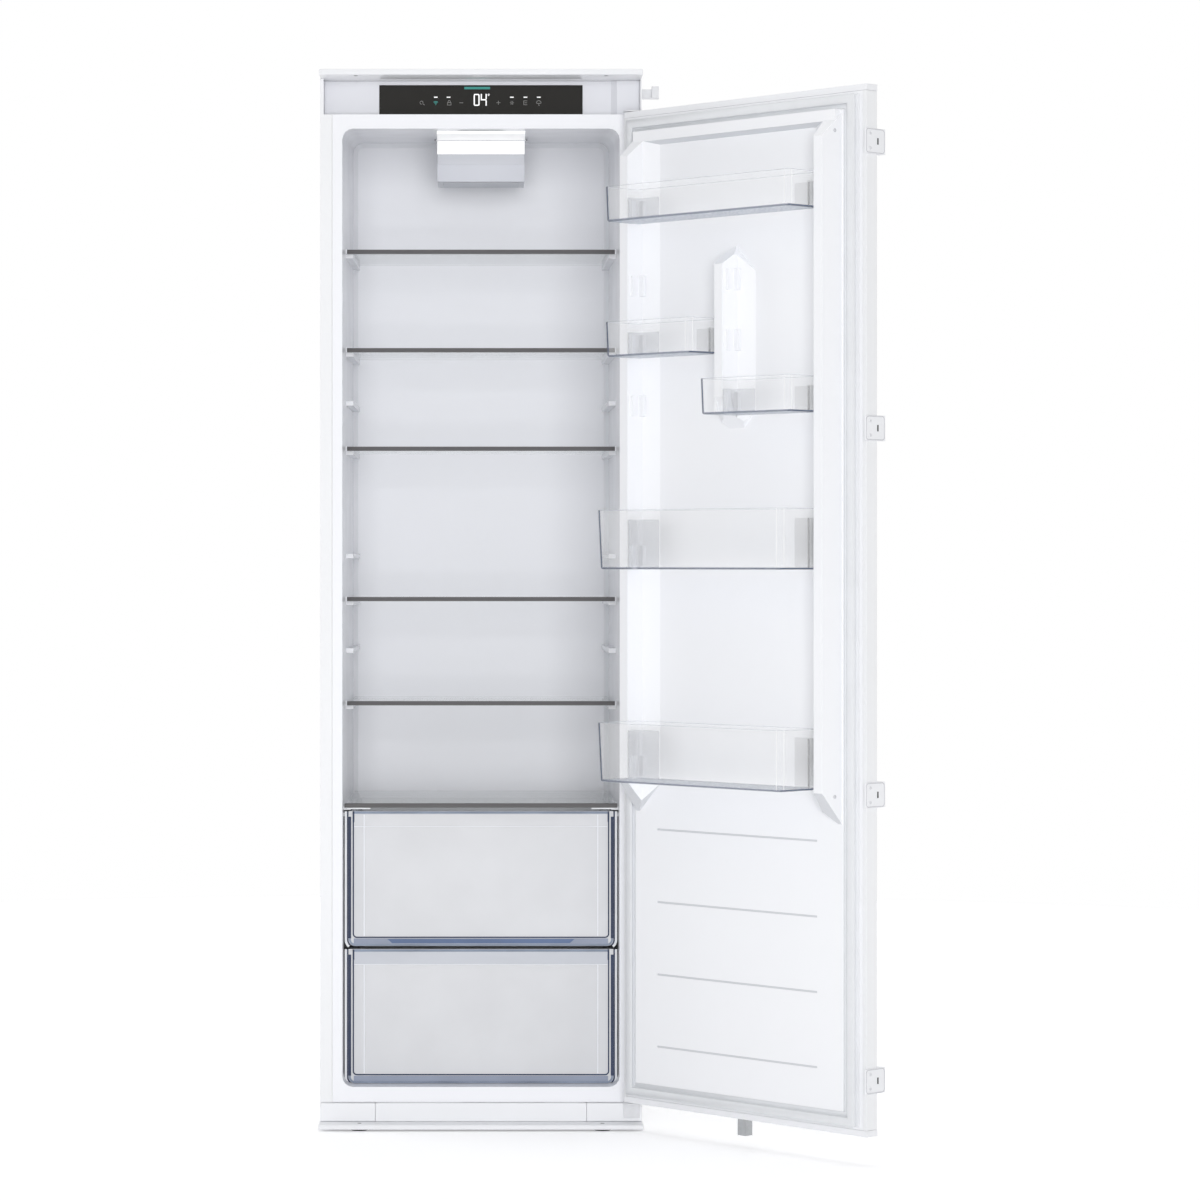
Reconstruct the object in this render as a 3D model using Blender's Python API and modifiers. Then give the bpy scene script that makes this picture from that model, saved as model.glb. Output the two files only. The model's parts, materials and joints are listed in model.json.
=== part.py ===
"""Built-in tall refrigerator with its door open, each piece as a closed solid.

Metres, +Z up. X runs to the right, Y runs into the cabinet and Z runs up. The origin
lies on the underside of the base tray, under the middle of the cabinet's front plane.
The door is modelled shut and turned open by its empty, which stands on the hinge axis.
Inside the door, u runs from the hinge edge to the free edge and v runs from the door's
inner flange into the cabinet.
"""
import math

import bmesh
import bpy

# Clearances and cutter lengths
GAP = 0.0003
OVERRUN = 0.010
WELD = 0.00002
ARC_STEPS = 4

# Cabinet box
CABINET_WIDTH = 0.540
CABINET_TOP_Z = 1.757
CABINET_BOTTOM_Z = 0.039
CABINET_DEPTH = 0.470
SHEET = 0.001
FOLD_WIDTH = 0.020
CONTROL_HEIGHT = 0.060
CONTROL_DEPTH = 0.120
RAIL_HEIGHT = 0.0244
SILL_HEIGHT = 0.0257
SIDE_WALL = 0.0372
SIDE_STRIP = 0.006

# Liner cavity
LINER_WALL = 0.002
BACK_INSULATION = 0.045
LINER_DRAFT = 0.005
CEILING_RISE = 0.0214
CAVITY_RADIUS = 0.018
BACK_FILLET = 0.008
HUMP_DEPTH = 0.208
HUMP_TOP_Z = 0.262
NICHE_DEPTH = 0.170
NICHE_TOP_Z = 0.226

# Shelves and their runners
GLASS = 0.004
TRIM_HEIGHT = 0.007
TRIM_DEPTH = 0.012
TRIM_WEB = 0.002
TRIM_SIDE_GAP = 0.0023
SHELF_FRONT_Y = 0.125
SHELF_BACK_GAP = 0.010
SHELF_HEIGHT_SHARES = (0.8781, 0.7734, 0.6685, 0.5084, 0.3975)
SPARE_RUNNER_HEIGHT_SHARES = (0.7210, 0.5581, 0.4573)
RUNNER_WIDTH = 0.012
RUNNER_HEIGHT = 0.008
RUNNER_BACK_GAP = 0.014
COVER_FRONT_Y = 0.030
COVER_CENTRE_Z = 0.5350

# Crisper drawers
DRAWER_FRONT_Y = 0.042
DRAWER_WALL = 0.0025
DRAWER_FRONT_PLATE = 0.005
DRAWER_SIDE_GAP = 0.0085
DRAWER_FLANGE = 0.0085
DRAWER_FLANGE_THICKNESS = 0.003
DRAWER_DRAFT = 0.003
DRAWER_RADIUS = 0.012
DRAWER_FRONT_RADIUS = 0.010
DRAWER_BACK_GAP = 0.020
DRAWER_COVER_GAP = 0.0065
DRAWER_SPLIT_Z = 0.2945
DRAWER_SPLIT_GAP = 0.005
DRAWER_HUMP_GAP = 0.006
DRAWER_RUNNER_WIDTH = 0.011
DRAWER_RUNNER_HEIGHT = 0.006

# Top ledge, control housing and display
LEDGE_HEIGHT = 0.0097
LEDGE_REACH = 0.050
LEDGE_BEVEL = 0.0015
HOUSING_LIFT = 0.0028
HOUSING_WALL = 0.003
HOUSING_FRONT_Y = 0.035
COVER_STEP = 0.010
HINGE_COVER_WIDTH = 0.038
HINGE_COVER_EDGE = 0.0027
DISPLAY_WIDTH = 0.343
DISPLAY_HEIGHT = 0.050
DISPLAY_THICKNESS = 0.0012
DISPLAY_LIFT = 0.0005
BOARD_WIDTH = 0.240
BOARD_HEIGHT = 0.038
BOARD_THICKNESS = 0.0016

# Lamp and airflow unit under the ceiling
UNIT_HALF_WIDTH = 0.0755
LAMP_THICKNESS = 0.005
LAMP_FRONT_Y = 0.012
LAMP_CEILING_GAP = 0.0026
UNIT_FRONT_Y = 0.2285
UNIT_BACK_Y = 0.330
UNIT_DROP = 0.0666
UNIT_WALL = 0.0025
LAMP_DROP = 0.0186
LED_BOARD_LENGTH = 0.150
LED_BOARD_FRONT_Y = 0.060
FAN_DROP = 0.0276
FAN_RADIUS = 0.028
FAN_HUB_RADIUS = 0.011
FAN_BLADES = 5
FAN_BLADE_THICKNESS = 0.002
FAN_DEPTH = 0.012
FAN_PITCH_DEGREES = 32.0
MOTOR_RADIUS = 0.014
MOTOR_DEPTH = 0.018
MOTOR_FRONT_Y = 0.300
MOTOR_ARM_HEIGHT = 0.008
MOTOR_ARM_DEPTH = 0.004
EVAPORATOR_WIDTH = 0.340
EVAPORATOR_BOTTOM_Z = 0.420
EVAPORATOR_DROP = 0.1126
EVAPORATOR_THICKNESS = 0.002

# Base under the cabinet
LIP_REACH = 0.050
LIP_HEIGHT = 0.008
LIP_OVERHANG = 0.001
LIP_BACK_Y = -0.006
LIP_BEVEL = 0.0015
PLINTH_FACE_Y = -0.010
PLINTH_THICKNESS = 0.003
BASE_RAIL_WIDTH = 0.093
BASE_BACK_INSET = 0.030
TRAY_THICKNESS = 0.002
FOOT_RADIUS = 0.0145
FOOT_DISC_HEIGHT = 0.0027
FOOT_STEM_RADIUS = 0.004
FOOT_STEM_CLEARANCE = 0.0003
FOOT_FROM_SIDE = 0.067
FOOT_FROM_LIP = 0.022
REAR_PAD_LENGTH = 0.040
REAR_PAD_WIDTH = 0.025
REAR_PAD_FROM_BACK = 0.050

# Compressor compartment and condenser
COMPRESSOR_X = 0.040
COMPRESSOR_FROM_BACK = 0.080
COMPRESSOR_RADIUS = 0.072
COMPRESSOR_HEIGHT = 0.150
COMPRESSOR_RIM = 0.006
COMPRESSOR_RIM_HEIGHT = 0.008
COMPRESSOR_LIFT = 0.026
COMPRESSOR_SEGMENTS = 24
COMPRESSOR_SHAPE_SHARES = ((0.50, 0.99), (0.80, 0.93), (0.97, 0.76), (1.0, 0.62), (1.0, 0.30),
                           (0.97, 0.18), (0.80, 0.05), (0.45, 0.01))
COMPRESSOR_RIM_SHARE = 0.5
MOUNT_PLATE_THICKNESS = 0.003
MOUNT_PLATE_SIDE = 0.150
MOUNT_FOOT_RADIUS = 0.010
RELAY_WIDTH = 0.034
RELAY_DEPTH = 0.050
RELAY_HEIGHT = 0.060
CONDENSER_TUBE_RADIUS = 0.0025
CONDENSER_STANDOFF = 0.0105
CONDENSER_HALF_WIDTH = 0.205
CONDENSER_BOTTOM_Z = 0.320
CONDENSER_DROP = 0.157
CONDENSER_RUNS = 20
CONDENSER_RAIL_WIDTH = 0.010
CONDENSER_RAIL_X = 0.150
BEND_STEPS = 5
GLAND_RADIUS = 0.009
GLAND_LENGTH = 0.010
GLAND_FROM_SIDE = 0.080
GLAND_Z = 0.255

# Niche bracket on the hinge side
FIXING_REACH = 0.029
FIXING_HEIGHT = 0.017
FIXING_SHEET = 0.002
FIXING_DROP = 0.033
FIXING_FRONT_Y = 0.004
FIXING_DEPTH = 0.014
FIXING_TAB_WIDTH = 0.012
FIXING_TAB_RISE = 0.004

# Hinge plates and pins
HINGE_PLATE = 0.0022
HINGE_PLATE_WIDTH = 0.032
HINGE_PLATE_NOSE = 0.013
HINGE_PLATE_BACK_Y = 0.090
HINGE_LOWER_DROP = 0.028
HINGE_LOWER_SHEET = 0.0027
HINGE_LEG_STEP = 0.001
PIN_RADIUS = 0.004
PIN_CLEARANCE = 0.0003
PIN_LENGTH = 0.008

# Door
OPEN_DEGREES = 133.0
DOOR_REVEAL = 0.0025
DOOR_THICKNESS = 0.025
DOOR_STANDOFF = 0.015
DOOR_TOP_CLEARANCE = 0.0005
DOOR_BOTTOM_CLEARANCE = 0.0045
DOOR_LIP = 0.008
CAP_HEIGHT = 0.010
CAP_PROUD = 0.0003
PIVOT_FROM_EDGE = 0.0105
PIVOT_DEPTH = 0.014
GASKET_INSET = 0.015
GASKET_WIDTH = 0.019
PLATEAU_INSET = 0.038
PLATEAU_HEIGHT = 0.012
LEG_HEIGHT = 0.055
LEG_TOP_WIDTH = 0.018
LEG_INSET = 0.044
LEG_OUTER_DRAFT = 0.004
LEG_BREAK_HEIGHT = 0.026
LEG_BREAK_RUN = 0.006
LEG_APRON_RUN = 0.033
LEG_TOP_SETBACK = 0.001
LEG_FOOT_DROP = 0.054
LEG_FOOT_RISE = 0.050
LEG_FOOT_POINT = 0.004
RIB_FOOT_DROP = 0.0195
RIB_FOOT_HALF = 0.0155
RIB_TOP_HEIGHT_SHARE = 0.8545
END_SLANT_SHARE = 1.0
RIB_TOP_DROP = 0.030
BAR_HEIGHT = 0.025
BAR_DEPTH = 0.018
BAR_UNDERCUT = 0.006
LUG_REACH = 0.0045
LUG_LOW_V = 0.0400
LUG_HIGH_V = 0.0490
STOP_REACH = 0.0085
STOP_LOW_V = 0.0256
STOP_HIGH_V = 0.0330
LUG_HEIGHT = 0.034
LUG_FROM_FLOOR = 0.005
SPARE_LUG_HEIGHT_SHARE = 0.8110

# Door balconies
BALCONY_WALL = 0.0025
BALCONY_LEG_GAP = 0.001
BALCONY_BACK_V = 0.0342
BALCONY_RADIUS = 0.008
SLIM_BALCONY_V = 0.112
DEEP_BALCONY_V = 0.130
SLIM_BALCONY_HEIGHT = 0.0575
DEEP_BALCONY_HEIGHT = 0.0965
BALCONY_HEIGHT_SHARES = (0.8829, 0.7489, 0.6884, 0.5387, 0.3288)
LUG_SLOT_CLEARANCE = 0.0008

# Sliding brackets for the furniture front and the bracket under the door
SLIDER_HEIGHT = 0.040
SLIDER_SHEET = 0.003
SLIDER_INNER_V = 0.006
SLIDER_OUTER_REACH = 0.016
SLIDER_GRIP = 0.012
SLIDER_HEIGHT_SHARES = (0.9457, 0.6731, 0.3246, 0.0529)
FOOT_BRACKET_LENGTH = 0.0175
FOOT_BRACKET_DEPTH = 0.017
FOOT_BRACKET_DROP = 0.027
FOOT_BRACKET_U_SHARE = 0.492

# Places worked out from the sizes above
HALF_WIDTH = CABINET_WIDTH / 2
OPENING_HALF = HALF_WIDTH - SIDE_WALL
RAIL_TOP_Z = CABINET_TOP_Z - CONTROL_HEIGHT
OPENING_TOP_Z = RAIL_TOP_Z - RAIL_HEIGHT
OPENING_BOTTOM_Z = CABINET_BOTTOM_Z + SILL_HEIGHT
FOAM_BACK_Y = CABINET_DEPTH - SHEET - GAP
HOUSING_BOTTOM_Z = RAIL_TOP_Z + HOUSING_LIFT
LEDGE_BOTTOM_Z = CABINET_TOP_Z + GAP
LEDGE_TOP_Z = LEDGE_BOTTOM_Z + LEDGE_HEIGHT
DOOR_WIDTH = CABINET_WIDTH - 2 * DOOR_REVEAL
DOOR_TOP_Z = RAIL_TOP_Z - DOOR_TOP_CLEARANCE
DOOR_BOTTOM_Z = CABINET_BOTTOM_Z + DOOR_BOTTOM_CLEARANCE
PIVOT_X = DOOR_WIDTH / 2 - PIVOT_FROM_EDGE
PIVOT_Y = -DOOR_STANDOFF - PIVOT_DEPTH
PLATEAU_BOTTOM_Z = DOOR_BOTTOM_Z + PLATEAU_INSET
PLATEAU_TOP_Z = DOOR_TOP_Z - PLATEAU_INSET
LINER_DEPTH = CABINET_DEPTH - BACK_INSULATION
HUMP_FRONT_Y = CABINET_DEPTH - HUMP_DEPTH
NICHE_FRONT_Y = CABINET_DEPTH - NICHE_DEPTH
COMPRESSOR_Y = CABINET_DEPTH - COMPRESSOR_FROM_BACK
BASE_BACK_Y = CABINET_DEPTH - BASE_BACK_INSET
UNIT_BOTTOM_Z = OPENING_TOP_Z - UNIT_DROP
LAMP_BOTTOM_Z = OPENING_TOP_Z - LAMP_DROP
FAN_CENTRE_Z = OPENING_TOP_Z - FAN_DROP
EVAPORATOR_TOP_Z = OPENING_TOP_Z - EVAPORATOR_DROP
CONDENSER_TOP_Z = CABINET_TOP_Z - CONDENSER_DROP
GLAND_X = GLAND_FROM_SIDE - HALF_WIDTH
FIXING_BOTTOM_Z = CABINET_TOP_Z - FIXING_DROP


def along(low, high, shares):
    """Places between two levels, given as shares of the way from low to high."""
    return [low + share * (high - low) for share in shares]


SHELF_CENTRES_Z = along(OPENING_BOTTOM_Z, OPENING_TOP_Z, SHELF_HEIGHT_SHARES)
SPARE_RUNNERS_Z = along(OPENING_BOTTOM_Z, OPENING_TOP_Z, SPARE_RUNNER_HEIGHT_SHARES)
SLIDER_CENTRES_Z = along(DOOR_BOTTOM_Z, DOOR_TOP_Z, SLIDER_HEIGHT_SHARES)
(BALCONY_TOP_Z, BALCONY_LEFT_Z, BALCONY_RIGHT_Z, BALCONY_BOTTLE_Z,
 BALCONY_LOW_Z) = along(DOOR_BOTTOM_Z, DOOR_TOP_Z, BALCONY_HEIGHT_SHARES)
RIB_TOP_Z, SPARE_LUG_Z = along(DOOR_BOTTOM_Z, DOOR_TOP_Z,
                               (RIB_TOP_HEIGHT_SHARE, SPARE_LUG_HEIGHT_SHARE))
RIB_FOOT_Z = BALCONY_RIGHT_Z - RIB_FOOT_DROP
LEG_FOOT_Z = BALCONY_LOW_Z - LEG_FOOT_DROP


def reset_scene():
    """Remove what the start-up file holds."""
    for item in list(bpy.data.objects):
        bpy.data.objects.remove(item, do_unlink=True)
    for group in list(bpy.data.collections):
        bpy.data.collections.remove(group)


reset_scene()
PARTS = bpy.data.collections.new("built_in_refrigerator")
CUTTERS = bpy.data.collections.new("cutters")
for new_collection in (PARTS, CUTTERS):
    bpy.context.scene.collection.children.link(new_collection)


def material(name, colour, roughness, metallic=0.0, alpha=1.0):
    """A Principled material with the part's plain colour."""
    made = bpy.data.materials.new(name)
    made.use_nodes = True
    shader = made.node_tree.nodes["Principled BSDF"]
    shader.inputs["Base Color"].default_value = (*colour, 1.0)
    shader.inputs["Roughness"].default_value = roughness
    shader.inputs["Metallic"].default_value = metallic
    shader.inputs["Alpha"].default_value = alpha
    return made


WHITE_STEEL = material("white_steel", (0.88, 0.89, 0.90), 0.35)
WHITE_PLASTIC = material("white_plastic", (0.90, 0.91, 0.92), 0.40)
LINER_PLASTIC = material("liner_plastic", (0.88, 0.89, 0.91), 0.30)
FOAM = material("insulation_foam", (0.85, 0.80, 0.62), 0.90)
DARK_DISPLAY = material("display_panel", (0.03, 0.03, 0.03), 0.12)
CIRCUIT_BOARD = material("circuit_board", (0.05, 0.25, 0.12), 0.55)
CLEAR_GLASS = material("shelf_glass", (0.85, 0.92, 0.93), 0.05, alpha=0.35)
DARK_TRIM = material("shelf_trim", (0.20, 0.20, 0.20), 0.35, metallic=0.8)
CLEAR_PLASTIC = material("clear_plastic", (0.80, 0.85, 0.90), 0.08, alpha=0.35)
LAMP_PLASTIC = material("lamp_diffuser", (0.98, 0.98, 0.98), 0.50)
GREY_STEEL = material("zinc_steel", (0.60, 0.61, 0.62), 0.35, metallic=1.0)
BLACK_STEEL = material("black_steel", (0.03, 0.03, 0.03), 0.45)
BLACK_PLASTIC = material("black_plastic", (0.04, 0.04, 0.04), 0.50)
ALUMINIUM = material("aluminium", (0.75, 0.76, 0.77), 0.40, metallic=1.0)
GASKET_RUBBER = material("gasket", (0.86, 0.87, 0.88), 0.60)


def mesh_object(name, mesh, finish, parent=None, location=(0.0, 0.0, 0.0)):
    """Wrap a mesh in an object of the parts collection."""
    made = bpy.data.objects.new(name, mesh)
    mesh.materials.append(finish)
    made.location = location
    made.parent = parent
    PARTS.objects.link(made)
    return made


def finish_mesh(name, shape):
    """Turn a bmesh into a mesh whose faces point out."""
    bmesh.ops.recalc_face_normals(shape, faces=shape.faces)
    if shape.calc_volume(signed=True) < 0:
        bmesh.ops.reverse_faces(shape, faces=shape.faces)
    mesh = bpy.data.meshes.new(name)
    shape.to_mesh(mesh)
    shape.free()
    return mesh


def box(name, low, high, finish, parent=None, bevel=0.0):
    """A box between two corners, placed by its centre."""
    size = [high[k] - low[k] for k in range(3)]
    shape = bmesh.new()
    bmesh.ops.create_cube(shape, size=1.0)
    bmesh.ops.scale(shape, vec=size, verts=shape.verts)
    centre = [(low[k] + high[k]) / 2 for k in range(3)]
    made = mesh_object(name, finish_mesh(name, shape), finish, parent, centre)
    if bevel:
        edges = made.modifiers.new("edges", "BEVEL")
        edges.width = bevel
        edges.segments = 2
    return made


def cylinder(name, radius, low, length, finish, axis="Z", parent=None, segments=24):
    """A cylinder that starts at the point low and runs along an axis."""
    shape = bmesh.new()
    bmesh.ops.create_cone(shape, cap_ends=True, segments=segments, radius1=radius,
                          radius2=radius, depth=length)
    made = mesh_object(name, finish_mesh(name, shape), finish, parent)
    along = {"X": (1.0, 0.0, 0.0), "Y": (0.0, 1.0, 0.0), "Z": (0.0, 0.0, 1.0)}[axis]
    made.location = [low[k] + along[k] * length / 2 for k in range(3)]
    quarter = math.pi / 2
    made.rotation_euler = {"X": (0.0, quarter, 0.0), "Y": (quarter, 0.0, 0.0),
                           "Z": (0.0, 0.0, 0.0)}[axis]
    for face in made.data.polygons:
        face.use_smooth = len(face.vertices) == 4
    return made


def as_function(limit):
    """Let a fixed limit stand where a limit that varies over the outline may stand."""
    return limit if callable(limit) else lambda first, second: limit


def mesh_from_curve(curve):
    """The curve's evaluated mesh with its loose caps welded on, as a bmesh."""
    guide = bpy.data.objects.new(curve.name, curve)
    PARTS.objects.link(guide)
    bpy.context.view_layer.update()
    evaluated = guide.evaluated_get(bpy.context.evaluated_depsgraph_get())
    shape = bmesh.new()
    shape.from_mesh(bpy.data.meshes.new_from_object(evaluated))
    bmesh.ops.remove_doubles(shape, verts=shape.verts, dist=WELD)
    bpy.data.objects.remove(guide, do_unlink=True)
    return shape


def prism(name, outline, low, high, axis, finish, parent=None):
    """An outline pushed along an axis; an end may be a function of the outline's point."""
    low_end, high_end = as_function(low), as_function(high)
    place = {"X": lambda a, b, c: (c, a, b), "Y": lambda a, b, c: (a, c, b),
             "Z": lambda a, b, c: (a, b, c)}[axis]
    curve = bpy.data.curves.new(name, "CURVE")
    curve.dimensions = "2D"
    curve.fill_mode = "BOTH"
    curve.extrude = abs(high_end(*outline[0]) - low_end(*outline[0])) / 2
    spline = curve.splines.new("POLY")
    spline.points.add(len(outline) - 1)
    for point, (a, b) in zip(spline.points, outline):
        point.co = (a, b, 0.0, 1.0)
    spline.use_cyclic_u = True
    shape = mesh_from_curve(curve)
    for vertex in shape.verts:
        a, b, side = vertex.co
        vertex.co = place(a, b, high_end(a, b) if side > 0 else low_end(a, b))
    return mesh_object(name, finish_mesh(name, shape), finish, parent)


def loft(name, rings, finish, parent=None):
    """A closed skin over rings of points, all with the same count, capped at both ends."""
    shape = bmesh.new()
    rows = [[shape.verts.new(point) for point in ring] for ring in rings]
    count = len(rows[0])
    for row, following in zip(rows, rows[1:]):
        for k in range(count):
            after = (k + 1) % count
            shape.faces.new((row[k], row[after], following[after], following[k]))
    shape.faces.new(list(reversed(rows[0])))
    shape.faces.new(rows[-1])
    return mesh_object(name, finish_mesh(name, shape), finish, parent)


def hide_operand(operand):
    """Move a solid that only cuts or joins into the cutters collection."""
    for group in list(operand.users_collection):
        group.objects.unlink(operand)
    CUTTERS.objects.link(operand)
    operand.hide_render = True
    operand.display_type = "WIRE"


def combine(target, operand, operation):
    """Add a Boolean of one solid to another."""
    step = target.modifiers.new(operation.lower(), "BOOLEAN")
    step.operation = operation
    step.solver = "EXACT"
    step.object = operand
    hide_operand(operand)


def cut(target, *operands):
    for operand in operands:
        combine(target, operand, "DIFFERENCE")


def join(target, *operands):
    for operand in operands:
        combine(target, operand, "UNION")


def rounded(corners, radius, steps=ARC_STEPS):
    """A polygon with an arc at each corner; radius is one value or one for each corner."""
    radii = radius if isinstance(radius, (list, tuple)) else [radius] * len(corners)
    points = []
    for k, corner in enumerate(corners):
        if not radii[k]:
            points.append(corner)
            continue
        before, after = corners[k - 1], corners[(k + 1) % len(corners)]
        inward = [unit(corner, before), unit(corner, after)]
        turn = math.acos(max(-1.0, min(1.0, dot(inward[0], inward[1]))))
        reach = radii[k] / math.tan(turn / 2)
        middle = radii[k] / math.sin(turn / 2)
        bisector = unit((0.0, 0.0), (inward[0][0] + inward[1][0], inward[0][1] + inward[1][1]))
        centre = (corner[0] + bisector[0] * middle, corner[1] + bisector[1] * middle)
        start = [corner[i] + inward[0][i] * reach - centre[i] for i in range(2)]
        end = [corner[i] + inward[1][i] * reach - centre[i] for i in range(2)]
        first = math.atan2(start[1], start[0])
        sweep = (math.atan2(end[1], end[0]) - first + math.pi) % (2 * math.pi) - math.pi
        for step in range(steps + 1):
            angle = first + sweep * step / steps
            points.append((centre[0] + radii[k] * math.cos(angle),
                           centre[1] + radii[k] * math.sin(angle)))
    return points


def unit(start, end):
    run, rise = end[0] - start[0], end[1] - start[1]
    length = math.hypot(run, rise)
    return (run / length, rise / length)


def dot(first, second):
    return first[0] * second[0] + first[1] * second[1]


def inset(corners, distance):
    """The polygon whose sides lie a distance inside those of a polygon."""
    count = len(corners)
    area = sum(corners[k][0] * corners[(k + 1) % count][1]
               - corners[(k + 1) % count][0] * corners[k][1] for k in range(count))
    side = distance if area > 0 else -distance
    points = []
    for k, corner in enumerate(corners):
        arriving = unit(corners[k - 1], corner)
        leaving = unit(corner, corners[(k + 1) % count])
        across = (-arriving[1] - leaving[1], arriving[0] + leaving[0])
        scale = side / (1 + dot(arriving, leaving))
        points.append((corner[0] + across[0] * scale, corner[1] + across[1] * scale))
    return points


def rectangle(low_a, high_a, low_b, high_b):
    return [(low_a, low_b), (high_a, low_b), (high_a, high_b), (low_a, high_b)]


def wall_x(y):
    """Where the liner's side wall stands at a depth."""
    return OPENING_HALF - LINER_DRAFT * y / LINER_DEPTH


def ceiling_z(y):
    """Where the liner's ceiling lies at a depth."""
    return OPENING_TOP_Z + CEILING_RISE * y / LINER_DEPTH


def cavity_form(name, grow, front_y):
    """The liner's hollow, grown all round, with the compressor hump left out of it."""
    def ring(y, half, top, bottom, radius):
        outline = rounded(rectangle(-half, half, bottom, top), radius)
        return [(x, y, z) for x, z in outline]

    bottom = OPENING_BOTTOM_Z - grow
    corner = CAVITY_RADIUS + grow
    shoulder_y = LINER_DEPTH - BACK_FILLET
    rings = [ring(front_y, OPENING_HALF + grow, OPENING_TOP_Z + grow, bottom, corner)]
    rings.append(ring(shoulder_y, wall_x(shoulder_y) + grow, ceiling_z(shoulder_y) + grow,
                      bottom, corner))
    rings.append(ring(LINER_DEPTH + grow, wall_x(LINER_DEPTH) + grow - BACK_FILLET,
                      ceiling_z(LINER_DEPTH) + grow - BACK_FILLET, bottom + BACK_FILLET,
                      corner - BACK_FILLET))
    form = loft(name, rings, LINER_PLASTIC)
    hump = box(name + "_hump",
               (-HALF_WIDTH, HUMP_FRONT_Y + grow, CABINET_BOTTOM_Z - OVERRUN),
               (HALF_WIDTH, CABINET_DEPTH, HUMP_TOP_Z - grow), LINER_PLASTIC)
    cut(form, hump)
    return form


def runner(name, side, top_z, width, height, front_y, back_y):
    """A ledge on the liner's side wall that follows its draft."""
    rooted = LINER_WALL / 2
    outline = [(side * (wall_x(front_y) - width), front_y),
               (side * (wall_x(back_y) - width), back_y),
               (side * (wall_x(back_y) + rooted), back_y),
               (side * (wall_x(front_y) + rooted), front_y)]
    return prism(name, outline, top_z - height, top_z, "Z", LINER_PLASTIC)


def make_liner():
    """The white inner box with its front flange and the runners for what slides in it."""
    half = HALF_WIDTH - FOLD_WIDTH - GAP
    liner = box("inner_liner", (-half, 0.0, CABINET_BOTTOM_Z + GAP),
                (half, LINER_WALL, RAIL_TOP_Z), LINER_PLASTIC)
    join(liner, cavity_form("liner_outside", LINER_WALL, LINER_WALL / 2))
    cut(liner, cavity_form("liner_inside", 0.0, -OVERRUN))
    rows = [z - GLASS / 2 - GAP for z in SHELF_CENTRES_Z]
    rows += [z - GLASS / 2 - GAP for z in SPARE_RUNNERS_Z]
    back_y = LINER_DEPTH - RUNNER_BACK_GAP
    for side in (-1, 1):
        for top_z in rows:
            join(liner, runner("shelf_runner", side, top_z, RUNNER_WIDTH, RUNNER_HEIGHT,
                               SHELF_FRONT_Y + TRIM_DEPTH + BALCONY_WALL, back_y))
        join(liner, runner("cover_runner", side, COVER_CENTRE_Z - GLASS / 2 - GAP,
                           RUNNER_WIDTH, DRAWER_RUNNER_HEIGHT,
                           COVER_FRONT_Y + TRIM_DEPTH + BALCONY_WALL, back_y))
        join(liner, runner("drawer_runner", side, flange_bottom_z() - GAP,
                           DRAWER_RUNNER_WIDTH, DRAWER_RUNNER_HEIGHT,
                           DRAWER_FRONT_Y + DRAWER_FRONT_PLATE + BALCONY_WALL, back_y))


def make_side_panels():
    """Two folded steel sheets: the side and its front edge."""
    for side, label, strip in ((-1, "left", SIDE_STRIP), (1, "right", HINGE_COVER_EDGE - GAP)):
        outer = side * HALF_WIDTH
        inner = side * (HALF_WIDTH - SHEET)
        fold = side * (HALF_WIDTH - FOLD_WIDTH)
        outline = [(outer, 0.0), (fold, 0.0), (fold, SHEET), (inner, SHEET),
                   (inner, CABINET_DEPTH), (outer, CABINET_DEPTH)]
        panel = prism("side_panel_" + label, outline, CABINET_BOTTOM_Z, CABINET_TOP_Z, "Z",
                      WHITE_STEEL)
        notch = sorted((side * (HALF_WIDTH - strip), side * (HALF_WIDTH - FOLD_WIDTH - OVERRUN)))
        cut(panel, box("strip_notch", (notch[0], -OVERRUN, RAIL_TOP_Z),
                       (notch[1], OVERRUN, CABINET_TOP_Z + OVERRUN), WHITE_STEEL))


def make_flat_panels():
    """The steel top behind the controls and the rear panel over the foam."""
    half = HALF_WIDTH - SHEET - GAP
    box("top_panel", (-half, CONTROL_DEPTH, CABINET_TOP_Z - SHEET),
        (half, CABINET_DEPTH, CABINET_TOP_Z), WHITE_STEEL)
    box("rear_panel", (-half, CABINET_DEPTH - SHEET, NICHE_TOP_Z),
        (half, CABINET_DEPTH, CABINET_TOP_Z - SHEET - GAP), GREY_STEEL)


def make_foam():
    """Insulation between the steel and the liner, open over the compressor niche."""
    half = HALF_WIDTH - SHEET - GAP
    foam = box("foam_insulation", (-half, LINER_WALL + GAP, CABINET_BOTTOM_Z + GAP),
               (half, FOAM_BACK_Y, CABINET_TOP_Z - SHEET - GAP), FOAM)
    cut(foam, cavity_form("foam_inside", LINER_WALL + GAP, -OVERRUN))
    cut(foam, box("control_notch", (-HALF_WIDTH, -OVERRUN, RAIL_TOP_Z - GAP),
                  (HALF_WIDTH, CONTROL_DEPTH, CABINET_TOP_Z + OVERRUN), FOAM))
    cut(foam, box("niche_notch", (-HALF_WIDTH, NICHE_FRONT_Y, CABINET_BOTTOM_Z - OVERRUN),
                  (HALF_WIDTH, CABINET_DEPTH + OVERRUN, NICHE_TOP_Z), FOAM))
    reach = EVAPORATOR_WIDTH / 2 + GAP
    cut(foam, box("evaporator_pocket", (-reach, LINER_DEPTH, EVAPORATOR_BOTTOM_Z - GAP),
                  (reach, evaporator_front_y() + EVAPORATOR_THICKNESS + GAP,
                   EVAPORATOR_TOP_Z + GAP), FOAM))


def evaporator_front_y():
    return LINER_DEPTH + LINER_WALL + GAP


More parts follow.
